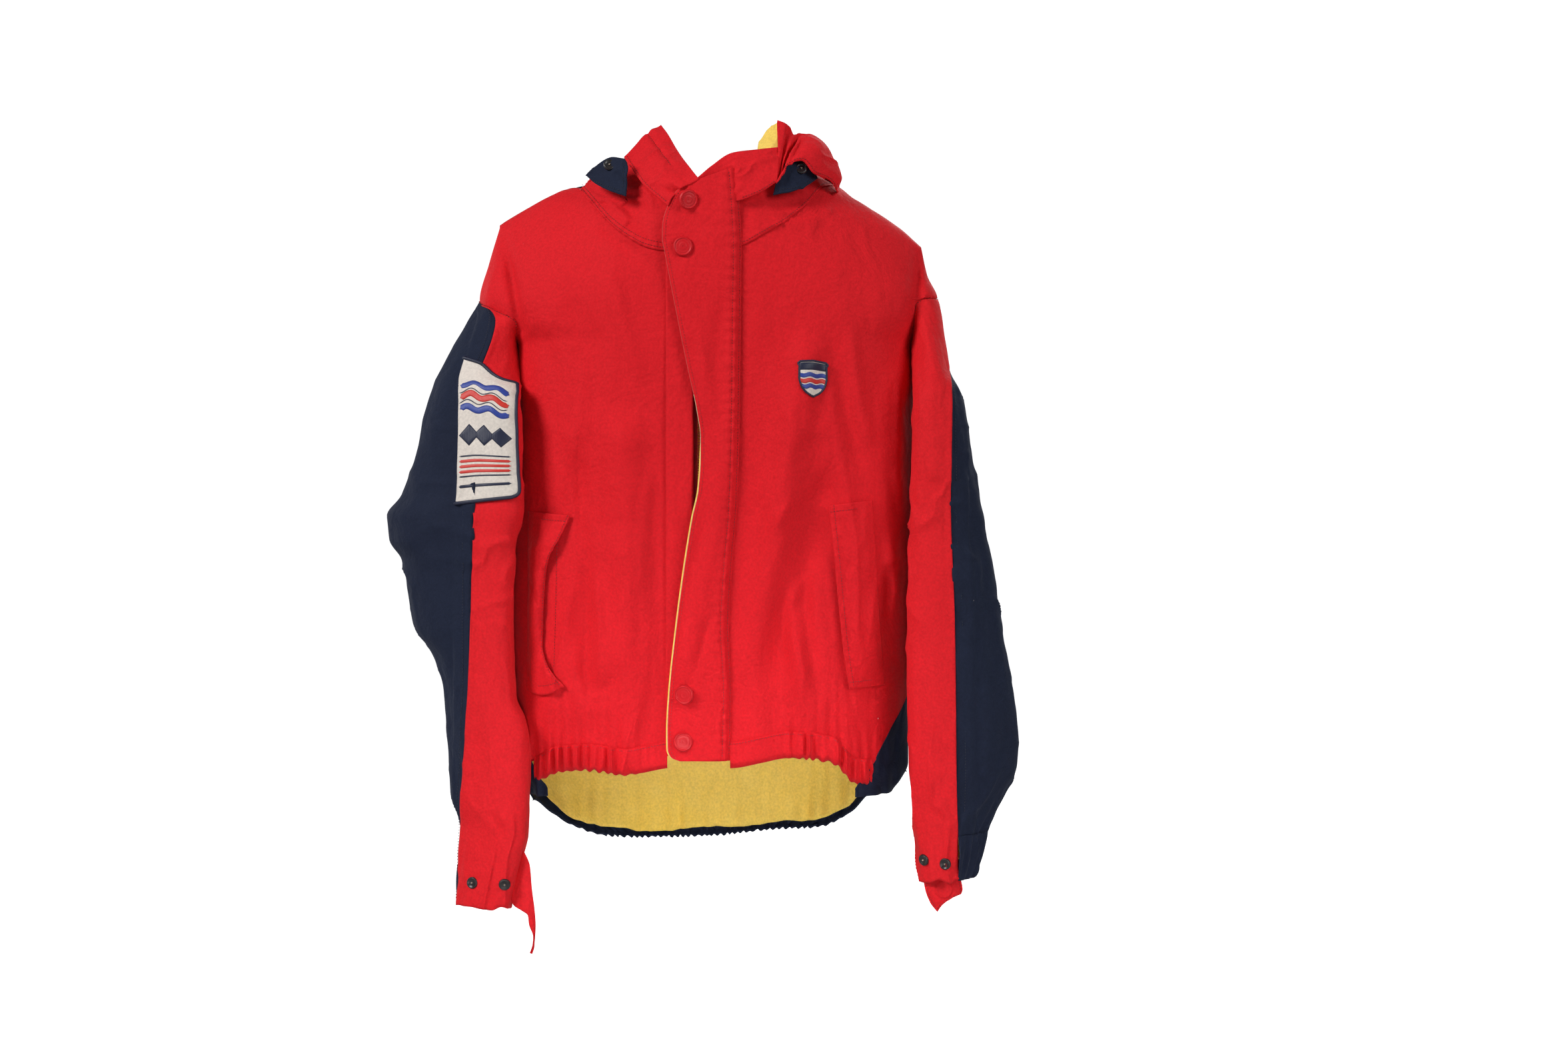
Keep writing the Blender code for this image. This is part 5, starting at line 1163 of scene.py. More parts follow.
def raised(name, line_p, line_q, wide, colour, point, body, rise=0.0005, size=(PATCH_WIDE, 0.140)):
    """A band of satin stitch along a line, tapering at its ends."""
    s = np.linspace(0.0, 1.0, len(line_p))
    slope_p, slope_q = np.gradient(line_p * size[0]), np.gradient(line_q * size[1])
    length = np.hypot(slope_p, slope_q)
    across = down_by(7, -1.0, 1.0)
    ends = np.clip(np.minimum(s, 1 - s) * 30, 0.25, 1.0)
    p = line_p + across * wide / 2 * ends * -slope_q / length / size[0]
    q = line_q + across * wide / 2 * ends * slope_p / length / size[1]
    grid = point(p, q, rise * np.sqrt(1.0001 - across ** 2) * (1 + 0.18 * np.sin(s * len(s) * 1.9)) * 1.4)
    cloth(name, grid, colour, body, (), lambda g: point(p, q, -0.004), thickness=THREAD_THICKNESS)


rows, columns = 90, 52
q = down_by(rows)
into_corner = np.clip(PATCH_CORNER - np.minimum(q, 1 - q) * PATCH_TALL, 0.0, PATCH_CORNER)
corner = PATCH_CORNER - np.sqrt(np.clip(PATCH_CORNER ** 2 - into_corner ** 2, 0.0, 1.0))
p = -0.06 + (1.06 - corner / PATCH_WIDE) * across_by(columns)
cloth("sleeve_patch_field", patch_point(p, q + 0 * p), PATCH_CLOTH, "sleeve_right", ("sleeve_patch",),
      lambda grid: patch_point(p, q + 0 * p, -0.010), thickness=0.0010)
edge_p = np.concatenate((p[0], p[1:-1, -1], p[-1, ::-1]))
edge_q = np.concatenate((0 * p[0], q[1:-1, 0], 1 + 0 * p[-1]))


def line_middle(grid):
    return grid.mean(axis=1, keepdims=True) + 0 * grid


def overlocked(name, line, radius, colour, body, closed=False):
    """A thick edge of overlocked thread that follows a line, each ridge one pass of the thread."""
    steps = np.linalg.norm(np.diff(line, axis=0), axis=1)
    reach = np.concatenate(([0.0], np.cumsum(steps)))
    even = np.linspace(0.0, reach[-1], int(reach[-1] / 0.00045))
    line = np.stack([np.interp(even, reach, line[:, k]) for k in range(3)], axis=-1)
    if closed:
        line = line[:-1]
        along_it = np.roll(line, -1, axis=0) - np.roll(line, 1, axis=0)
    else:
        along_it = np.gradient(line, axis=0)
    along_it /= np.maximum(np.linalg.norm(along_it, axis=-1, keepdims=True), 1e-9)
    side = np.cross(along_it, (0.0, -1.0, 0.0))
    side /= np.maximum(np.linalg.norm(side, axis=-1, keepdims=True), 1e-9)
    out = np.cross(side, along_it)
    angle = np.linspace(0.0, math.tau, 10, endpoint=False)[None, :, None]
    swell = radius * (1 + 0.13 * np.sin(np.arange(len(line)) * 2.2))[:, None, None]
    grid = line[:, None] + swell * (np.cos(angle) * side[:, None] + np.sin(angle) * out[:, None])
    if closed:
        grid = np.concatenate((grid, grid[:1]), axis=0)
    cloth(name, grid, colour, body, (), line_middle, thickness=THREAD_THICKNESS, closed=True)


overlocked("sleeve_patch_edge", patch_point(edge_p, edge_q, 0.0), 0.00185, SATIN_NAVY, "sleeve_right")
along_it = np.linspace(0.0, 1.0, 120)
for number, (height, colour) in enumerate(((0.17, SATIN_BLUE), (0.26, SATIN_RED), (0.35, SATIN_BLUE)), 1):
    wave = height + 0.016 * np.sin(along_it * 13 + number)
    raised(f"sleeve_patch_wave_{number}", 0.04 + 0.84 * along_it, wave, 0.0062, colour, patch_point,
           "sleeve_right")
for number, height in enumerate((0.235, 0.315), 1):
    wave = height - 0.010 + 0.016 * np.sin(along_it * 13 + number + 0.5)
    raised(f"sleeve_patch_line_{number}", 0.02 + 0.84 * along_it, wave, 0.0011, SATIN_NAVY, patch_point,
           "sleeve_right",
           rise=0.0003)
for number, centre in enumerate((0.20, 0.47, 0.74), 1):
    s = np.linspace(0.0, 1.0, 40)
    half = (0.0100 * (1 - np.abs(2 * s - 1)))[None, :]
    across = down_by(9, -1.0, 1.0)
    dp = centre + (2 * s - 1)[None, :] * 0.0105 / PATCH_WIDE + 0 * across
    dq = 0.535 + across * half / PATCH_TALL
    rise = (0.0006 * np.sqrt(1.0001 - across ** 2) * (1 + 0.2 * np.sin(s * 80))[None, :]
            * np.clip(half / 0.003, 0.0, 1.0))
    cloth(f"sleeve_patch_diamond_{number}", patch_point(dp, dq, rise), SATIN_NAVY, "sleeve_right", (),
          lambda grid: patch_point(dp, dq, -0.004), thickness=THREAD_THICKNESS)
for number, (height, wide, colour) in enumerate(((0.680, 0.0016, SATIN_NAVY), (0.715, 0.0030, SATIN_RED),
                                                 (0.752, 0.0030, SATIN_RED), (0.789, 0.0030, SATIN_RED),
                                                 (0.822, 0.0016, SATIN_NAVY), (0.890, 0.0030, SATIN_NAVY)),
                                                1):
    raised(f"sleeve_patch_bar_{number}", 0.03 + 0.86 * along_it, height + 0 * along_it, wide, colour,
           patch_point,
           "sleeve_right", rise=0.0004)

# ---- The zip -------------------------------------------------------------------------------------
# A coarse moulded zip behind the flap: two woven tapes, a row of teeth along the edge of each, and a
# slider with a plain pull. The teeth show where the flap's edge swings away below the chest.
ZIP_PLANE = -0.0853
TAPE_RED = poplin("zip_tape_red", (0.250, 0.007, 0.010), (0.330, 0.014, 0.018), rough=0.85, threads=1000.0,
                  crumples=0.1, lint=0.1, specks=0.0)
for title in ("right", "left"):
    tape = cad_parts["zip_tape_" + title]
    tape.data.materials.clear()
    tape.data.materials.append(TAPE_RED)


ZIP_RED = moulding("zip_moulding", (0.300, 0.010, 0.013), 0.42)
TOOTH_PITCH = 0.0026
for side, title in SIDES:
    points, quads = [], []
    count = int(0.522 / TOOTH_PITCH)
    for i in range(count):
        z = -0.572 + TOOTH_PITCH * (i + (0.5 if side > 0 else 1.0))
        root, crown = ZIP_X + side * 0.0032, ZIP_X - side * 0.0010
        first = len(points)
        for x, half_y, half_z in ((root, 0.0015, 0.00052), (crown + side * 0.0016, 0.0012, 0.00042),
                                  (crown + side * 0.0006, 0.0013, 0.00078), (crown, 0.0010, 0.00060)):
            for a, b in ((-1, -1), (1, -1), (1, 1), (-1, 1)):
                points.append((x, ZIP_PLANE + a * half_y, z + b * half_z))
        quads.extend(face if side < 0 else face[::-1] for face in bar_faces(first))
    mesh = bpy.data.meshes.new("zip_teeth_fine_" + title)
    mesh.from_pydata(points, [], quads)
    new_piece("zip_teeth_fine_" + title, mesh, ZIP_RED, "root", ("zip_teeth_" + title,))
    mesh.polygons.foreach_set("use_smooth", [False] * len(mesh.polygons))


def rounded_box(name, low, high, bevel, material, body, nodes):
    points = [(x, y, z) for x in (low[0], high[0]) for y in (low[1], high[1]) for z in (low[2], high[2])]
    mesh = bpy.data.meshes.new(name)
    mesh.from_pydata(points, [], [(0, 1, 3, 2), (4, 6, 7, 5), (0, 4, 5, 1), (2, 3, 7, 6), (0, 2, 6, 4),
                                  (1, 5, 7, 3)])
    piece = new_piece(name, mesh, material, body, nodes)
    soft = piece.modifiers.new("rounded", 'BEVEL')
    soft.width = bevel
    soft.segments = 3
    return piece


SLIDER_Z = -0.100
rounded_box("zip_slider_front", (ZIP_X - 0.0048, ZIP_PLANE - 0.0028, SLIDER_Z - 0.0055),
            (ZIP_X + 0.0048, ZIP_PLANE - 0.0016, SLIDER_Z + 0.0055), 0.0005, ZIP_RED, "zip_slider",
            ("zip_slider",))
rounded_box("zip_slider_back", (ZIP_X - 0.0048, ZIP_PLANE + 0.0016, SLIDER_Z - 0.0055),
            (ZIP_X + 0.0048, ZIP_PLANE + 0.0028, SLIDER_Z + 0.0055), 0.0005, ZIP_RED, "zip_slider", ())
rounded_box("zip_slider_bridge", (ZIP_X - 0.0003, ZIP_PLANE - 0.0018, SLIDER_Z + 0.0010),
            (ZIP_X + 0.0003, ZIP_PLANE + 0.0018, SLIDER_Z + 0.0046), 0.0001, ZIP_RED, "zip_slider", ())
rounded_box("zip_pull_tab", (ZIP_X - 0.0025, ZIP_PLANE - 0.0046, SLIDER_Z - 0.0180),
            (ZIP_X + 0.0025, ZIP_PLANE - 0.0034, SLIDER_Z + 0.0020), 0.0005, ZIP_RED, "zip_pull",
            ("zip_pull",))
rounded_box("zip_bottom_box", (ZIP_X - 0.0052, ZIP_PLANE - 0.0024, -0.5800),
            (ZIP_X + 0.0052, ZIP_PLANE + 0.0024, -0.5715),
            0.0007, ZIP_RED, "root", ())

# ---- The under placket ---------------------------------------------------------------------------
# A doubled strip of red poplin sewn behind the right front's edge, hidden by the storm flap. It carries the
# four snap studs that the caps press onto.
z = down_by(160, -0.0150, -0.5850)
u = across_by(14)
x = -0.0435 + 0.0275 * u + 0 * z
z = z + 0 * u - 0.022 * ease(0.6, 0.0, u) * ease(-0.10, -0.015, z)
y = -0.0892 - 0.0006 * ripple(x * 90, z * 12, 121)
cloth("under_placket_cloth", np.stack((x, y, z), axis=-1), RED, "root", ("under_placket",),
      trunk,
      thickness=0.0011)
for number in (1, 2, 3, 4):
    low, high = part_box(f"placket_stud_{number}")
    snap_stud(f"placket_snap_{number}", ((low[0] + high[0]) / 2, -0.0902, (low[2] + high[2]) / 2),
              (0.0, -1.0, 0.0), "root",
              (f"placket_stud_{number}",))

# ---- The storm flap ------------------------------------------------------------------------------
# A long red flap sewn to the left front that closes over the zip. Its free edge is cut in a long curve and
# bound with a narrow cream edge, and its yellow facing peeps out below the chest. Two rows of stitches run
# down the sewn edge and pucker the cloth.
FLAP_FREE = ((-0.0101, -0.0030), (-0.0225, -0.0075), (-0.0320, -0.0150), (-0.0382, -0.0246),
             (-0.0429, -0.0347),
             (-0.0458, -0.0470), (-0.0464, -0.0610), (-0.0440, -0.0760), (-0.0409, -0.0922),
             (-0.0304, -0.1458),
             (-0.0208, -0.1927), (-0.0116, -0.2355), (-0.0078, -0.2643), (-0.0078, -0.2823),
             (-0.0098, -0.3145),
             (-0.0161, -0.3449), (-0.0262, -0.4089), (-0.0325, -0.4571), (-0.0395, -0.5240),
             (-0.0412, -0.5588),
             (-0.0409, -0.5782), (-0.0372, -0.5860), (-0.0288, -0.5896))
FLAP_SEWN = ((0.0281, 0.0105), (0.0300, -0.0050), (0.0314, -0.0277), (0.0334, -0.0686), (0.0327, -0.1255),
             (0.0314, -0.2448), (0.0287, -0.3345), (0.0240, -0.3902), (0.0205, -0.4572), (0.0234, -0.5148),
             (0.0220, -0.5898))
FLAP_ROWS = 300
free_edge, sewn_edge = spaced(FLAP_FREE, FLAP_ROWS), spaced(FLAP_SEWN, FLAP_ROWS)


FLAP_FOLDS = (
    (-0.0030, 0.0100, ((0.0150, -0.1046), (0.0098, -0.1802), (0.0012, -0.2833))),
    (0.0030, 0.0120, ((0.0184, -0.2695), (0.0012, -0.3692), (-0.0228, -0.4723), (-0.0297, -0.5238))),
    (-0.0035, 0.0080, ((0.0047, -0.3176), (-0.0125, -0.3864), (-0.0280, -0.4723))),
    (0.0022, 0.0060, ((-0.0125, -0.1389), (0.0012, -0.2214), (0.0116, -0.2695))),
    (-0.0020, 0.0050, ((0.0081, -0.4207), (-0.0091, -0.4826), (-0.0262, -0.5341))),
)


def flap_point(s, row, back=0.0):
    """s is 0 at the free edge and 1 at the sewn edge."""
    free, sewn = free_edge[row], sewn_edge[row]
    width = np.linalg.norm(sewn - free, axis=-1, keepdims=True)
    flat = free * (1 - s[..., None]) + sewn * s[..., None]
    x, z = flat[..., 0], flat[..., 1]
    from_sewn = (1 - s) * width[..., 0]
    y = -0.0978 + 0.0074 * np.exp(-(from_sewn / 0.0045) ** 2)
    y += 0.0013 * np.exp(-((from_sewn - 0.0085) / 0.0016) ** 2)
    pucker = np.exp(-((from_sewn - 0.006) / 0.010) ** 2)
    y -= 0.0007 * pucker * np.sin(z * 560 + 3.0 * ripple(z * 34, x * 20, 131))
    y -= folded(FLAP_FOLDS, x, z)
    y -= 0.0016 * ripple(x * 34 + z * 3, z * 11, 132) + 0.0004 * crease(x * 40, z * 16, 133, 4.0)
    y -= 0.0018 * ease(-0.12, -0.03, z) * (crease(x * 30 + z * 20, z * 26, 134, 3.0) - 0.3)
    y += 0.0022 * np.exp(-(s * width[..., 0] / 0.004) ** 2) * ease(-0.62, -0.50, z + 0 * s) * 0.5
    return np.stack((x, y + back, z), axis=-1)


row = np.arange(FLAP_ROWS)[:, None] + np.zeros((1, 44), int)
s = across_by(44) + 0.0 * row
flap = cloth("storm_flap_cloth", flap_point(s, row), RED, None, ("storm_flap",), front_plane,
             thickness=0.0012)
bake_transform(flap)
CREAM = poplin("cream_edge", (0.640, 0.400, 0.240), (0.760, 0.560, 0.400), rough=0.8, crumples=0.2, lint=0.0,
               specks=0.0,
               tint=(1.0, 0.9, 0.8, 1.0))
row = np.arange(6, FLAP_ROWS)[:, None] + np.zeros((1, 30), int)
s = across_by(30, 0.0, 0.94) + 0.0 * row
low_part = ease(0.40, 0.50, row / FLAP_ROWS)
facing_grid = flap_point(s, row, back=0.0016)
facing_grid[..., 0] -= (1 - s) ** 6 * (0.0017 * low_part - 0.0012 * (1 - low_part))
cloth("storm_flap_facing_cloth", facing_grid, YELLOW, "storm_flap", ("storm_flap_facing",),
      front_plane, thickness=LINING_THICKNESS)
PALE_RED = poplin("turned_edge", (0.640, 0.060, 0.060), (0.700, 0.140, 0.120), rough=0.8, crumples=0.2,
                  lint=0.0, specks=0.0)
for name, first, last, colour in (("storm_flap_edge_upper", 0, 116, PALE_RED),
                                  ("storm_flap_edge_lower", 115, FLAP_ROWS, CREAM)):
    row = np.arange(first, last)
    edge_line = flap_point(0.0 * row, row)
    points = np.stack([edge_line + np.array((-0.00025 + 0.00042 * math.cos(a), 0.0006 + 0.00042 * math.sin(a),
                                             0.0))
                       for a in np.linspace(0, math.tau, 6, endpoint=False)], axis=1)
    cloth(name, points, colour, "storm_flap", (), line_middle, thickness=THREAD_THICKNESS,
          closed=True)
free_row = np.arange(2, FLAP_ROWS - 2)
width = np.linalg.norm(sewn_edge - free_edge, axis=1)[free_row]
stitch_red = thread("red_thread", (0.42, 0.012, 0.016))
on_flap = np.array((0.0, -0.00025, 0.0))
free_line = flap_point(0.0030 / width, free_row) + on_flap
sewn_lines = [flap_point(1 - inset / width, free_row) + on_flap for inset in (0.0018, 0.0085)]
stitches("storm_flap_stitching", [free_line], stitch_red, "storm_flap")
stitches("storm_flap_sewn_stitching", sewn_lines, DARK_THREAD, "storm_flap")

# ---- The snap caps -------------------------------------------------------------------------------
# Four 20 mm enamelled caps, pressed through the flap. Each has a rolled rim, a shallow dish and a raised
# rope ring. The cloth pulls two of them askew.
CAP_RED = moulding("red_enamel", (0.560, 0.008, 0.014), 0.40, wear=(0.60, 0.030, 0.034))
CAP_RED.node_tree.nodes["Principled BSDF"].inputs["Specular IOR Level"].default_value = 0.25
SNAPS = ((-0.0206, -0.0240, 0.42, 0.20), (-0.0259, -0.0708, 0.04, 0.03), (-0.0239, -0.5223, -0.34, 0.10),
         (-0.0256, -0.5700, 0.03, -0.05))
for number, (x, z, turn, nod) in enumerate(SNAPS, 1):
    rings, around = 26, 56
    radius = np.concatenate((np.linspace(0.0004, 0.0092, 20),
                             (0.0097, 0.0100, 0.0100, 0.0097, 0.0086, 0.0050)))
    rise = np.concatenate((0.0026 - 0.0008 * (np.linspace(0, 1, 20) ** 2),
                           (0.0018, 0.0012, 0.0006, 0.0, -0.0002, -0.0002)))
    rim = 0.00130 * np.exp(-((radius - 0.0086) / 0.0008) ** 2)
    angle = np.linspace(0.0, math.tau, around, endpoint=False)[None, :]
    r = radius[:, None] + 0 * angle
    rope = np.exp(-((r - 0.0062) / 0.0007) ** 2) * (0.00030 + 0.00016
                                                    * np.cos(18 * angle + (r - 0.0062) * 2600))
    rope += 0.00026 * np.exp(-((r - 0.0030) / 0.0006) ** 2)
    height = (rise + rim)[:, None] + rope * (np.arange(rings) < 20)[:, None]
    local = np.stack((r * np.cos(angle), -height, r * np.sin(angle)), axis=-1)
    ct, st, cn, sn = math.cos(turn), math.sin(turn), math.cos(nod), math.sin(nod)
    spin = np.array(((ct, -st, 0), (st, ct, 0), (0, 0, 1))) @ np.array(((1, 0, 0), (0, cn, -sn), (0, sn, cn)))
    surface = -0.0984 - 0.0036 * (abs(turn) > 0.2)
    cloth(f"snap_cap_enamel_{number}", local @ spin.T + np.array((x, surface, z)), CAP_RED, "storm_flap",
          (f"snap_cap_{number}",), front_plane, thickness=PRESSED_THICKNESS, closed=True)

# ---- The pocket flaps ----------------------------------------------------------------------------
# Red flaps over the slanted hand pockets, each sewn down along its outer edge. The left one lies flat. The
# right one has buckled: its free edge is folded back and shows the pocket's stitched mouth.
POCKET_SEWN = {
    -1: ((-0.1862, -0.3375), (-0.1868, -0.4200), (-0.1875, -0.5210)),
    1: ((0.1663, -0.3263), (0.1722, -0.4200), (0.1798, -0.5157)),
}
POCKET_FREE = {
    -1: ((-0.1407, -0.3419), (-0.1510, -0.3640), (-0.1625, -0.3850), (-0.1668, -0.4060), (-0.1690, -0.4400),
         (-0.1700, -0.4740), (-0.1630, -0.4950), (-0.1465, -0.5149)),
    1: ((0.1210, -0.3317), (0.1290, -0.4050), (0.1360, -0.4740), (0.1426, -0.5178)),
}
for side, title in SIDES:
    sewn, free = spaced(POCKET_SEWN[side], 110), spaced(POCKET_FREE[side], 110)
    s = np.linspace(0.0, 1.0, 34)[None, :, None]
    flat = sewn[:, None, :] * (1 - s) + free[:, None, :] * s
    if side < 0:
        corner = ease(0.93, 1.0, np.linspace(0, 1, 110))[:, None]
        flat[..., 1] -= 0.006 * corner * np.sin(s[..., 0] * math.pi)
    x, z = flat[..., 0], flat[..., 1]
    s = s[..., 0] + 0 * x
    stand = 0.0012 + 0.0024 * ease(0.0, 0.20, s)
    if side < 0:
        buckled = np.exp(-((z + 0.43) / 0.055) ** 2)
        stand += 0.0085 * buckled * np.sin(s * math.pi) ** 0.8
        stand += (0.0050 * np.exp(-((z + 0.375) / 0.020) ** 2) * s + 0.0050 * np.exp(-((z
                  + 0.498) / 0.018) ** 2) * s)
        stand += 0.0016 * crease(x * 40, z * 30, 141, 3.0)
    else:
        stand += 0.0005 + 0.0022 * ease(0.45, 1.0, s) + 0.0009 * ripple(x * 40, z * 18,
                                                                        142) + 0.0007 * crease(x * 34, z * 26,
                                                                                               143, 4.0)
    leaf = front_surface(x, z, stand + 0.0004 * np.sin(z * 620) * np.exp(-((s - 0.86) / 0.10) ** 2))
    flap = cloth("pocket_flap_cloth_" + title, leaf, RED, None, ("pocket_flap_" + title,), trunk,
                 thickness=0.0016)
    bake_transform(flap)
    rows = [leaf[:, k] + ON_CLOTH for k in ((29,) if side > 0 else (31,))]
    rows += [leaf[k, 12:] + ON_CLOTH for k in (4, -5)]
    stitches("pocket_flap_stitching_" + title, rows, DARK_THREAD, "pocket_flap_" + title)
zs = np.linspace(-0.3560, -0.5030, 90)
mouth = front_surface(-0.1545 - 0.0035 * np.linspace(0, 1, 90), zs, 0.0004)
stitches("pocket_mouth_stitching", [mouth], DARK_THREAD, "root")

# ---- The collar ----------------------------------------------------------------------------------
# A doubled stand collar. Its right half has flopped outward into a wing, its left half stands beside the
# flap, and over the left shoulder it puffs up round the stowed hood. Its lining is yellow.
ON_COLLAR = np.array((0.0, -0.0004, 0.0))


def puffed(grid, amount):
    """Moved along the sheet's own normal, towards the front."""
    normal = facing(grid)
    normal *= np.where(normal[..., 1:2].mean() > 0, -1.0, 1.0)
    return grid + normal * amount[..., None]


wing = spanned(((-0.0516, -0.0300, 0.0641), (-0.0414, -0.0440, 0.0465), (-0.0281, -0.0660, 0.0240),
                (-0.0103, -0.1000, -0.0016)),
               ((-0.0878, -0.0560, 0.0267), (-0.0780, -0.0680, 0.0105), (-0.0660, -0.0810, -0.0070),
                (-0.0520, -0.0930, -0.0200), (-0.0419, -0.0990, -0.0296)),
               ((-0.0516, -0.0300, 0.0641), (-0.0657, -0.0380, 0.0541), (-0.0782, -0.0480, 0.0393),
                (-0.0878, -0.0560, 0.0267)),
               ((-0.0103, -0.1000, -0.0016), (-0.0260, -0.1010, -0.0100), (-0.0370, -0.1000, -0.0200),
                (-0.0419, -0.0990, -0.0296)), 56, 90)
u, v = across_by(90), down_by(56)
x, z = wing[..., 0], wing[..., 2]
lift = 0.0060 * np.sin(u * math.pi) * np.sin(v * math.pi) + 0.0022 * ripple(x * 50 + z * 30, z * 60, 151)
lift += 0.0026 * (crease(x * 30 - z * 12, z * 34, 152, 3.0) - 0.3) * np.sin(v * math.pi) ** 0.5
fold = np.exp(-((v - 0.30) / 0.05) ** 2) * ease(0.85, 0.2, u)
lift -= 0.0026 * fold
lift -= 0.0060 * ease(0.72, 0.98, u) * crease(x * 60 + z * 60, z * 40, 153, 2.0) * np.sin(v * math.pi)
wing = puffed(wing, lift)
cloth("collar_wing", wing, RED, "root", ("collar_right",), front_plane,
      thickness=DOUBLED_THICKNESS)
edge_rows = [wing[-4, 2:-2] + ON_COLLAR, wing[17, 2:60] + ON_COLLAR]
stitches("collar_wing_stitching", edge_rows, DARK_THREAD, "root")

stand = spanned(((-0.0104, -0.0975, -0.0013), (0.0030, -0.0940, 0.0112), (0.0237, -0.0885, 0.0252),
                 (0.0492, -0.0800, 0.0300), (0.0700, -0.0690, 0.0340)),
                ((-0.0060, -0.0930, -0.0200), (0.0120, -0.0925, -0.0260), (0.0306, -0.0950, -0.0245),
                 (0.0414, -0.0955, -0.0210), (0.0534, -0.0930, -0.0152), (0.0690, -0.0880, -0.0040)),
                ((-0.0104, -0.0975, -0.0013), (-0.0090, -0.0950, -0.0100), (-0.0060, -0.0930, -0.0200)),
                ((0.0700, -0.0690, 0.0340), (0.0700, -0.0800, 0.0150), (0.0690, -0.0880, -0.0040)), 44, 80)
u, v = across_by(80), down_by(44)
x, z = stand[..., 0], stand[..., 2]
inner_part = np.sin(np.clip(v, 0, 1) * math.pi) ** 0.5 * ease(0.0, 0.1, u)
lift = 0.0030 * inner_part + 0.0026 * inner_part * (crease(x * 24 + z * 8, z * 60 - x * 18, 154, 3.0) - 0.25)
lift += 0.0012 * ripple(x * 70, z * 80, 155) * inner_part
stand = puffed(stand, lift * ease(0.30, 0.55, u))
cloth("collar_stand", stand, RED, "root", ("collar_left",), front_plane,
      thickness=DOUBLED_THICKNESS)
stitches("collar_stand_stitching", [stand[-3, 40:78] + ON_COLLAR], DARK_THREAD, "root")

cover = spanned(((0.0695, -0.0600, 0.0630), (0.0770, -0.0580, 0.0605), (0.0825, -0.0540, 0.0565),
                 (0.0862, -0.0500, 0.0500), (0.0930, -0.0460, 0.0518), (0.1000, -0.0420, 0.0520),
                 (0.1142, -0.0340, 0.0451), (0.1233, -0.0270, 0.0316), (0.1296, -0.0240, 0.0132),
                 (0.1330, -0.0260, -0.0057)),
                ((0.0675, -0.0890, -0.0054), (0.0756, -0.0850, 0.0084), (0.0831, -0.0820, 0.0157),
                 (0.0933, -0.0790, 0.0182), (0.1069, -0.0710, 0.0060), (0.1214, -0.0580, 0.0021),
                 (0.1327, -0.0420, -0.0075)),
                ((0.0695, -0.0600, 0.0630), (0.0700, -0.0720, 0.0340), (0.0690, -0.0820, 0.0140),
                 (0.0675, -0.0890, -0.0054)),
                ((0.1330, -0.0260, -0.0057), (0.1330, -0.0340, -0.0066), (0.1327, -0.0420, -0.0075)), 60, 96)
u, v = across_by(96), down_by(60)
x, z = cover[..., 0], cover[..., 2]
inner_part = np.sin(v * math.pi) ** 0.6
lift = 0.0090 * inner_part * ease(0.10, 0.45, u) * ease(1.0, 0.85, u)
for fold_u, deep, wide, slant in ((0.10, 0.0070, 0.035, 0.10), (0.20, 0.0080, 0.030, 0.16),
                                  (0.30, 0.0045, 0.03, 0.05)):
    lift -= deep * np.exp(-((u - fold_u - slant * (0.5 - v)) / wide) ** 2) * np.sin(v * math.pi) ** 0.4
lift += 0.0030 * inner_part * (crease(x * 26 + z * 20, z * 30, 156, 2.5)
                               - 0.3) + 0.0012 * inner_part * ripple(x * 70, z * 70, 157)
cover = puffed(cover, lift)
cover_piece = cloth("collar_cover_cloth", cover, RED, None, ("collar_cover_left",),
                    lambda grid: grid + np.array((-0.3, 1.0, -0.6)), thickness=0.0018)
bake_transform(cover_piece)
stitches("collar_cover_stitching", [cover[-3, 2:-2] + ON_COLLAR], DARK_THREAD, "collar_cover_left")

tongue = spanned(((0.0496, -0.0420, 0.0440), (0.0590, -0.0480, 0.0560), (0.0697, -0.0560, 0.0632)),
                 ((0.0500, -0.0640, 0.0240), (0.0600, -0.0650, 0.0260), (0.0700, -0.0660, 0.0280)),
                 ((0.0496, -0.0420, 0.0440), (0.0498, -0.0540, 0.0340), (0.0500, -0.0640, 0.0240)),
                 ((0.0697, -0.0560, 0.0632), (0.0698, -0.0620, 0.0450), (0.0700, -0.0660, 0.0280)), 30, 24)
tongue = puffed(tongue, 0.0016 * ripple(tongue[..., 0] * 90, tongue[..., 2] * 60, 158)
                + 0.0016 * (crease(tongue[..., 0] * 70, tongue[..., 2] * 40, 159, 2.5) - 0.3))
cloth("collar_lining", tongue, YELLOW, "root", (), front_plane, thickness=LINING_THICKNESS)

angle = np.linspace(math.radians(8.0), math.radians(172.0), 170)[None, :]
v = down_by(44)
full = np.sin(angle) ** 0.6
grow = through(((0.0, 0.96), (0.25, 1.02), (0.45, 1.12), (0.70, 1.26), (1.0, 1.36)))(v)
rise = through(((0.0, -0.0050), (0.22, 0.0170), (0.40, 0.0210), (0.62, 0.0120), (0.82, -0.0060),
                (1.0, -0.0250)))(v)
factor = 1.0 + (grow - 1.0) * (0.30 + 0.70 * full)
height = rise * (0.45 + 0.55 * full) + 0.010 * (1 - full) * ease(0.0, 0.3, v)
back_collar = np.stack((0.118 * factor * np.cos(angle), 0.078 * factor * np.sin(angle), height), axis=-1)
ripples = 0.0030 * ripple(angle * 7, v * 3, 161) + 0.0034 * (crease(angle * 4.5, v * 2.2, 162, 2.5) - 0.3)
ripples += 0.0010 * ripple(angle * 26, v * 9, 163)
back_collar += (facing(back_collar) * -1.0) * (ripples * np.sin(v * math.pi) ** 0.4)[..., None]


def below_neck(grid):
    return np.stack((grid[..., 0] * 0.7, grid[..., 1] * 0.7, grid[..., 2] - 0.08), axis=-1)


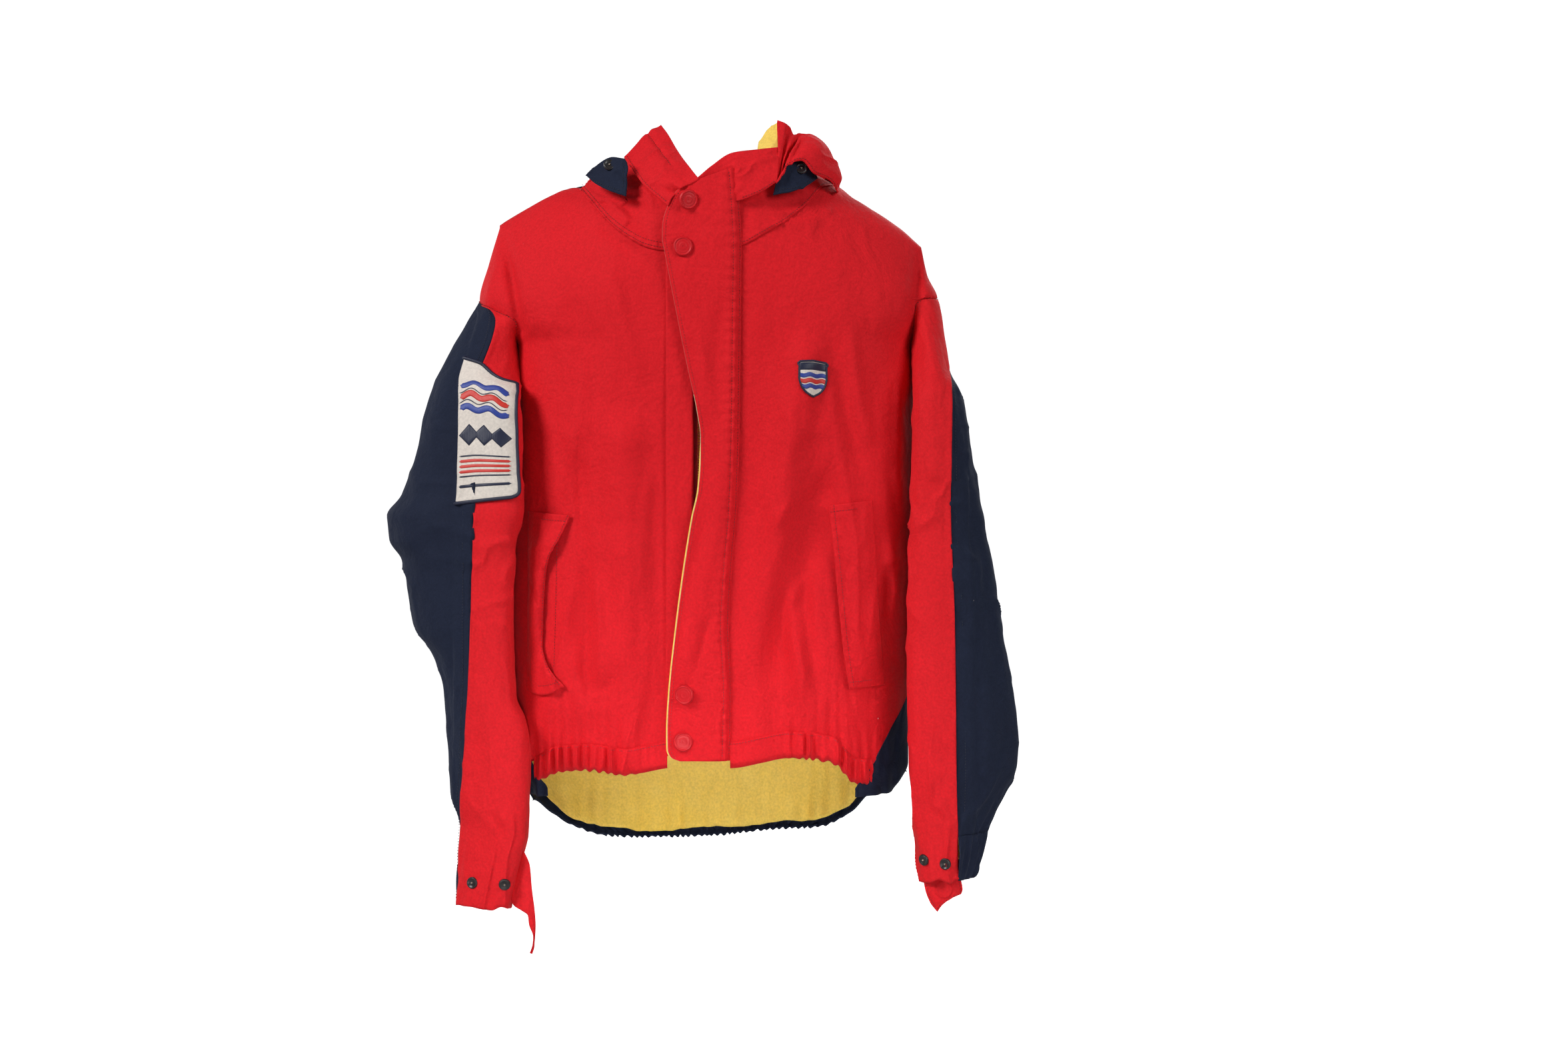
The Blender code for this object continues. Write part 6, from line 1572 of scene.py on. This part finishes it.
cloth("collar_back_cloth", back_collar, RED, "root", ("collar_back",), below_neck,
      thickness=DOUBLED_THICKNESS)
stitches("collar_back_stitching", [back_collar[-4, 3:-3] + np.array((0.0, 0.0003, 0.0008))], DARK_THREAD,
         "root")

# ---- The stowed hood -----------------------------------------------------------------------------
# The red poplin hood, sewn in at the neck seam, rolled up and pushed down inside the back of the collar. The
# roll is soft and uneven, and half full.
turn = np.linspace(math.radians(14.0), math.radians(166.0), 150)[:, None]
around_it = np.linspace(0.0, math.tau, 40, endpoint=False)[None, :]
thick = 0.0115 * (0.55 + 0.45 * np.sin(turn) ** 0.3) * (1 + 0.16 * ripple(turn * 6, around_it * 1.0, 171))
thick = thick + 0.0022 * (crease(turn * 7, np.sin(around_it) * 1.4, 172, 2.5) - 0.3)
ends = np.clip(np.minimum(turn - turn[0], turn[-1] - turn) / 0.10, 0.02, 1.0) ** 0.5
thick = thick * ends
roll = np.stack(((0.099 + thick * np.cos(around_it)) * np.cos(turn),
                 0.012 + (0.044 + thick * np.cos(around_it)) * np.sin(turn),
                 -0.008 + thick * np.sin(around_it) + 0 * turn), axis=-1)
hood = cloth("rolled_hood_cloth", roll, RED, "root", ("rolled_hood",),
             line_middle, thickness=0.0006, closed=True)

# ---- The hood tabs -------------------------------------------------------------------------------
# Doubled navy poplin tabs at each side of the neck that snap the hood down. Each is stitched round its edge
# and has one dark stud left showing.
TAB_EDGES = {
    -1: (((-0.1273, -0.0560, 0.0071), (-0.1138, -0.0640, 0.0180), (-0.1000, -0.0720, 0.0236),
          (-0.0860, -0.0800, 0.0205)),
         ((-0.1273, -0.0560, 0.0071), (-0.1180, -0.0660, -0.0020), (-0.0987, -0.0780, -0.0128),
          (-0.0848, -0.0860, -0.0184)),
         ((-0.1273, -0.0560, 0.0071), (-0.1272, -0.0561, 0.0070)),
         ((-0.0860, -0.0800, 0.0205), (-0.0836, -0.0830, 0.0116), (-0.0840, -0.0850, -0.0040),
          (-0.0848, -0.0860, -0.0184))),
    1: (((0.0749, -0.0760, 0.0140), (0.0860, -0.0700, 0.0250), (0.1008, -0.0620, 0.0205),
         (0.1111, -0.0560, 0.0042)),
        ((0.0655, -0.0870, -0.0170), (0.0750, -0.0840, -0.0150), (0.0817, -0.0820, -0.0135),
         (0.0960, -0.0740, -0.0080)),
        ((0.0749, -0.0760, 0.0140), (0.0690, -0.0820, 0.0000), (0.0655, -0.0870, -0.0170)),
        ((0.1111, -0.0560, 0.0042), (0.1040, -0.0660, -0.0020), (0.0960, -0.0740, -0.0080))),
}
for side, title in SIDES:
    top, bottom, left, right = TAB_EDGES[side]
    tab = spanned(top, bottom, left, right, 30, 44)
    x, z = tab[..., 0], tab[..., 2]
    tab = puffed(tab, 0.0012 * ripple(x * 60, z * 70, 181)
                 + 0.0014 * (crease(x * 50 + z * 20, z * 30, 182, 3.0) - 0.2))
    cloth("hood_tab_cloth_" + title, tab, NAVY, "root", ("hood_tab_" + title,), front_plane,
          thickness=0.0018)
    stitches("hood_tab_stitching_" + title, [tab[-4, 4:-3] + ON_COLLAR,
                                             tab[4:-4, -4] + ON_COLLAR],
             NAVY_THREAD, "root")
    down, along_it = (7, 26) if side < 0 else (9, 24)
    snap_stud("hood_snap_" + title, tab[down, along_it], (0.1, -1.0, 0.35), "root", ("hood_stud_" + title,))

# ---- The hang loop -------------------------------------------------------------------------------
# A twisted navy cord, 3 mm thick, bent into a loop that hangs down. Its two ends are sewn inside the back
# neck seam.
turn = down_by(60, 0.0, math.pi)
around_it = np.linspace(0.0, math.tau, 14, endpoint=False)[None, :]
radius = 0.0015 * (1 + 0.14 * np.cos(2 * around_it + turn * 30))
loop = np.stack((-(0.022 + radius * np.cos(around_it)) * np.cos(turn),
                 0.0700 + radius * np.sin(around_it) + 0 * turn,
                 -0.0270 - (0.020 + radius * np.cos(around_it)) * np.sin(turn)), axis=-1)
cloth("hang_loop_cord", loop, NAVY, "hang_loop", ("hang_loop",),
      line_middle, thickness=THREAD_THICKNESS, closed=True)

# ---- The chest badge -----------------------------------------------------------------------------
# A small shield embroidered on twill and sewn to the left chest. It has an overlocked navy edge, a navy
# band across its top, and plain waves in blue and red.
BADGE = (0.1053, -0.2038)
BADGE_HALF = through(((0.0, 0.0128), (0.06, 0.0150), (0.14, 0.0138), (0.45, 0.0140), (0.68, 0.0122),
                      (0.86, 0.0080),
                      (1.0, 0.0006)))


def badge_point(p, q, out=0.0):
    """p runs from -1 to 1 across the shield, q from the top to the point."""
    x = BADGE[0] + p * BADGE_HALF(q)
    z = BADGE[1] + 0.0180 - 0.0360 * q - 0.0012 * np.abs(p) * (1 - q) - 0.05 * (x - BADGE[0])
    return front_surface(x, z, 0.0012 + out)


q = down_by(44)
p = across_by(34, -1.0, 1.0)
cloth("chest_badge_field", badge_point(p + 0 * q, q + 0 * p), PATCH_CLOTH, "root", ("chest_badge",),
      lambda grid: badge_point(p + 0 * q, q + 0 * p, -0.010), thickness=0.0010)
edge_q = np.concatenate((0 * p[0], q[1:, 0], q[-2::-1, 0]))
edge_p = np.concatenate((p[0], 1 + 0 * q[1:, 0], -1 + 0 * q[-2::-1, 0]))
overlocked("chest_badge_edge", badge_point(edge_p, edge_q), 0.0011, SATIN_NAVY, "root",
           closed=True)
s = across_by(50, -0.93, 0.93)
across = down_by(9, -1.0, 1.0)
for name, height, tall, colour in (("chest_badge_band", 0.150, 0.105, SATIN_NAVY),
                                   ("chest_badge_wave_1", 0.400, 0.062, SATIN_BLUE),
                                   ("chest_badge_wave_2", 0.560, 0.062, SATIN_RED),
                                   ("chest_badge_wave_3", 0.715, 0.062, SATIN_BLUE)):
    wave = 0.020 * np.sin(s * 7.0) * (height > 0.2)
    bp, bq = s + 0 * across, height + wave + across * tall
    rise = 0.0006 * np.sqrt(1.0001 - across ** 2) ** 0.5 * (1 + 0.14 * np.sin(s * 60))
    cloth(name, badge_point(bp, bq, rise), colour, "root", (),
          lambda grid: badge_point(bp, bq, -0.004), thickness=THREAD_THICKNESS)

low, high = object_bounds()
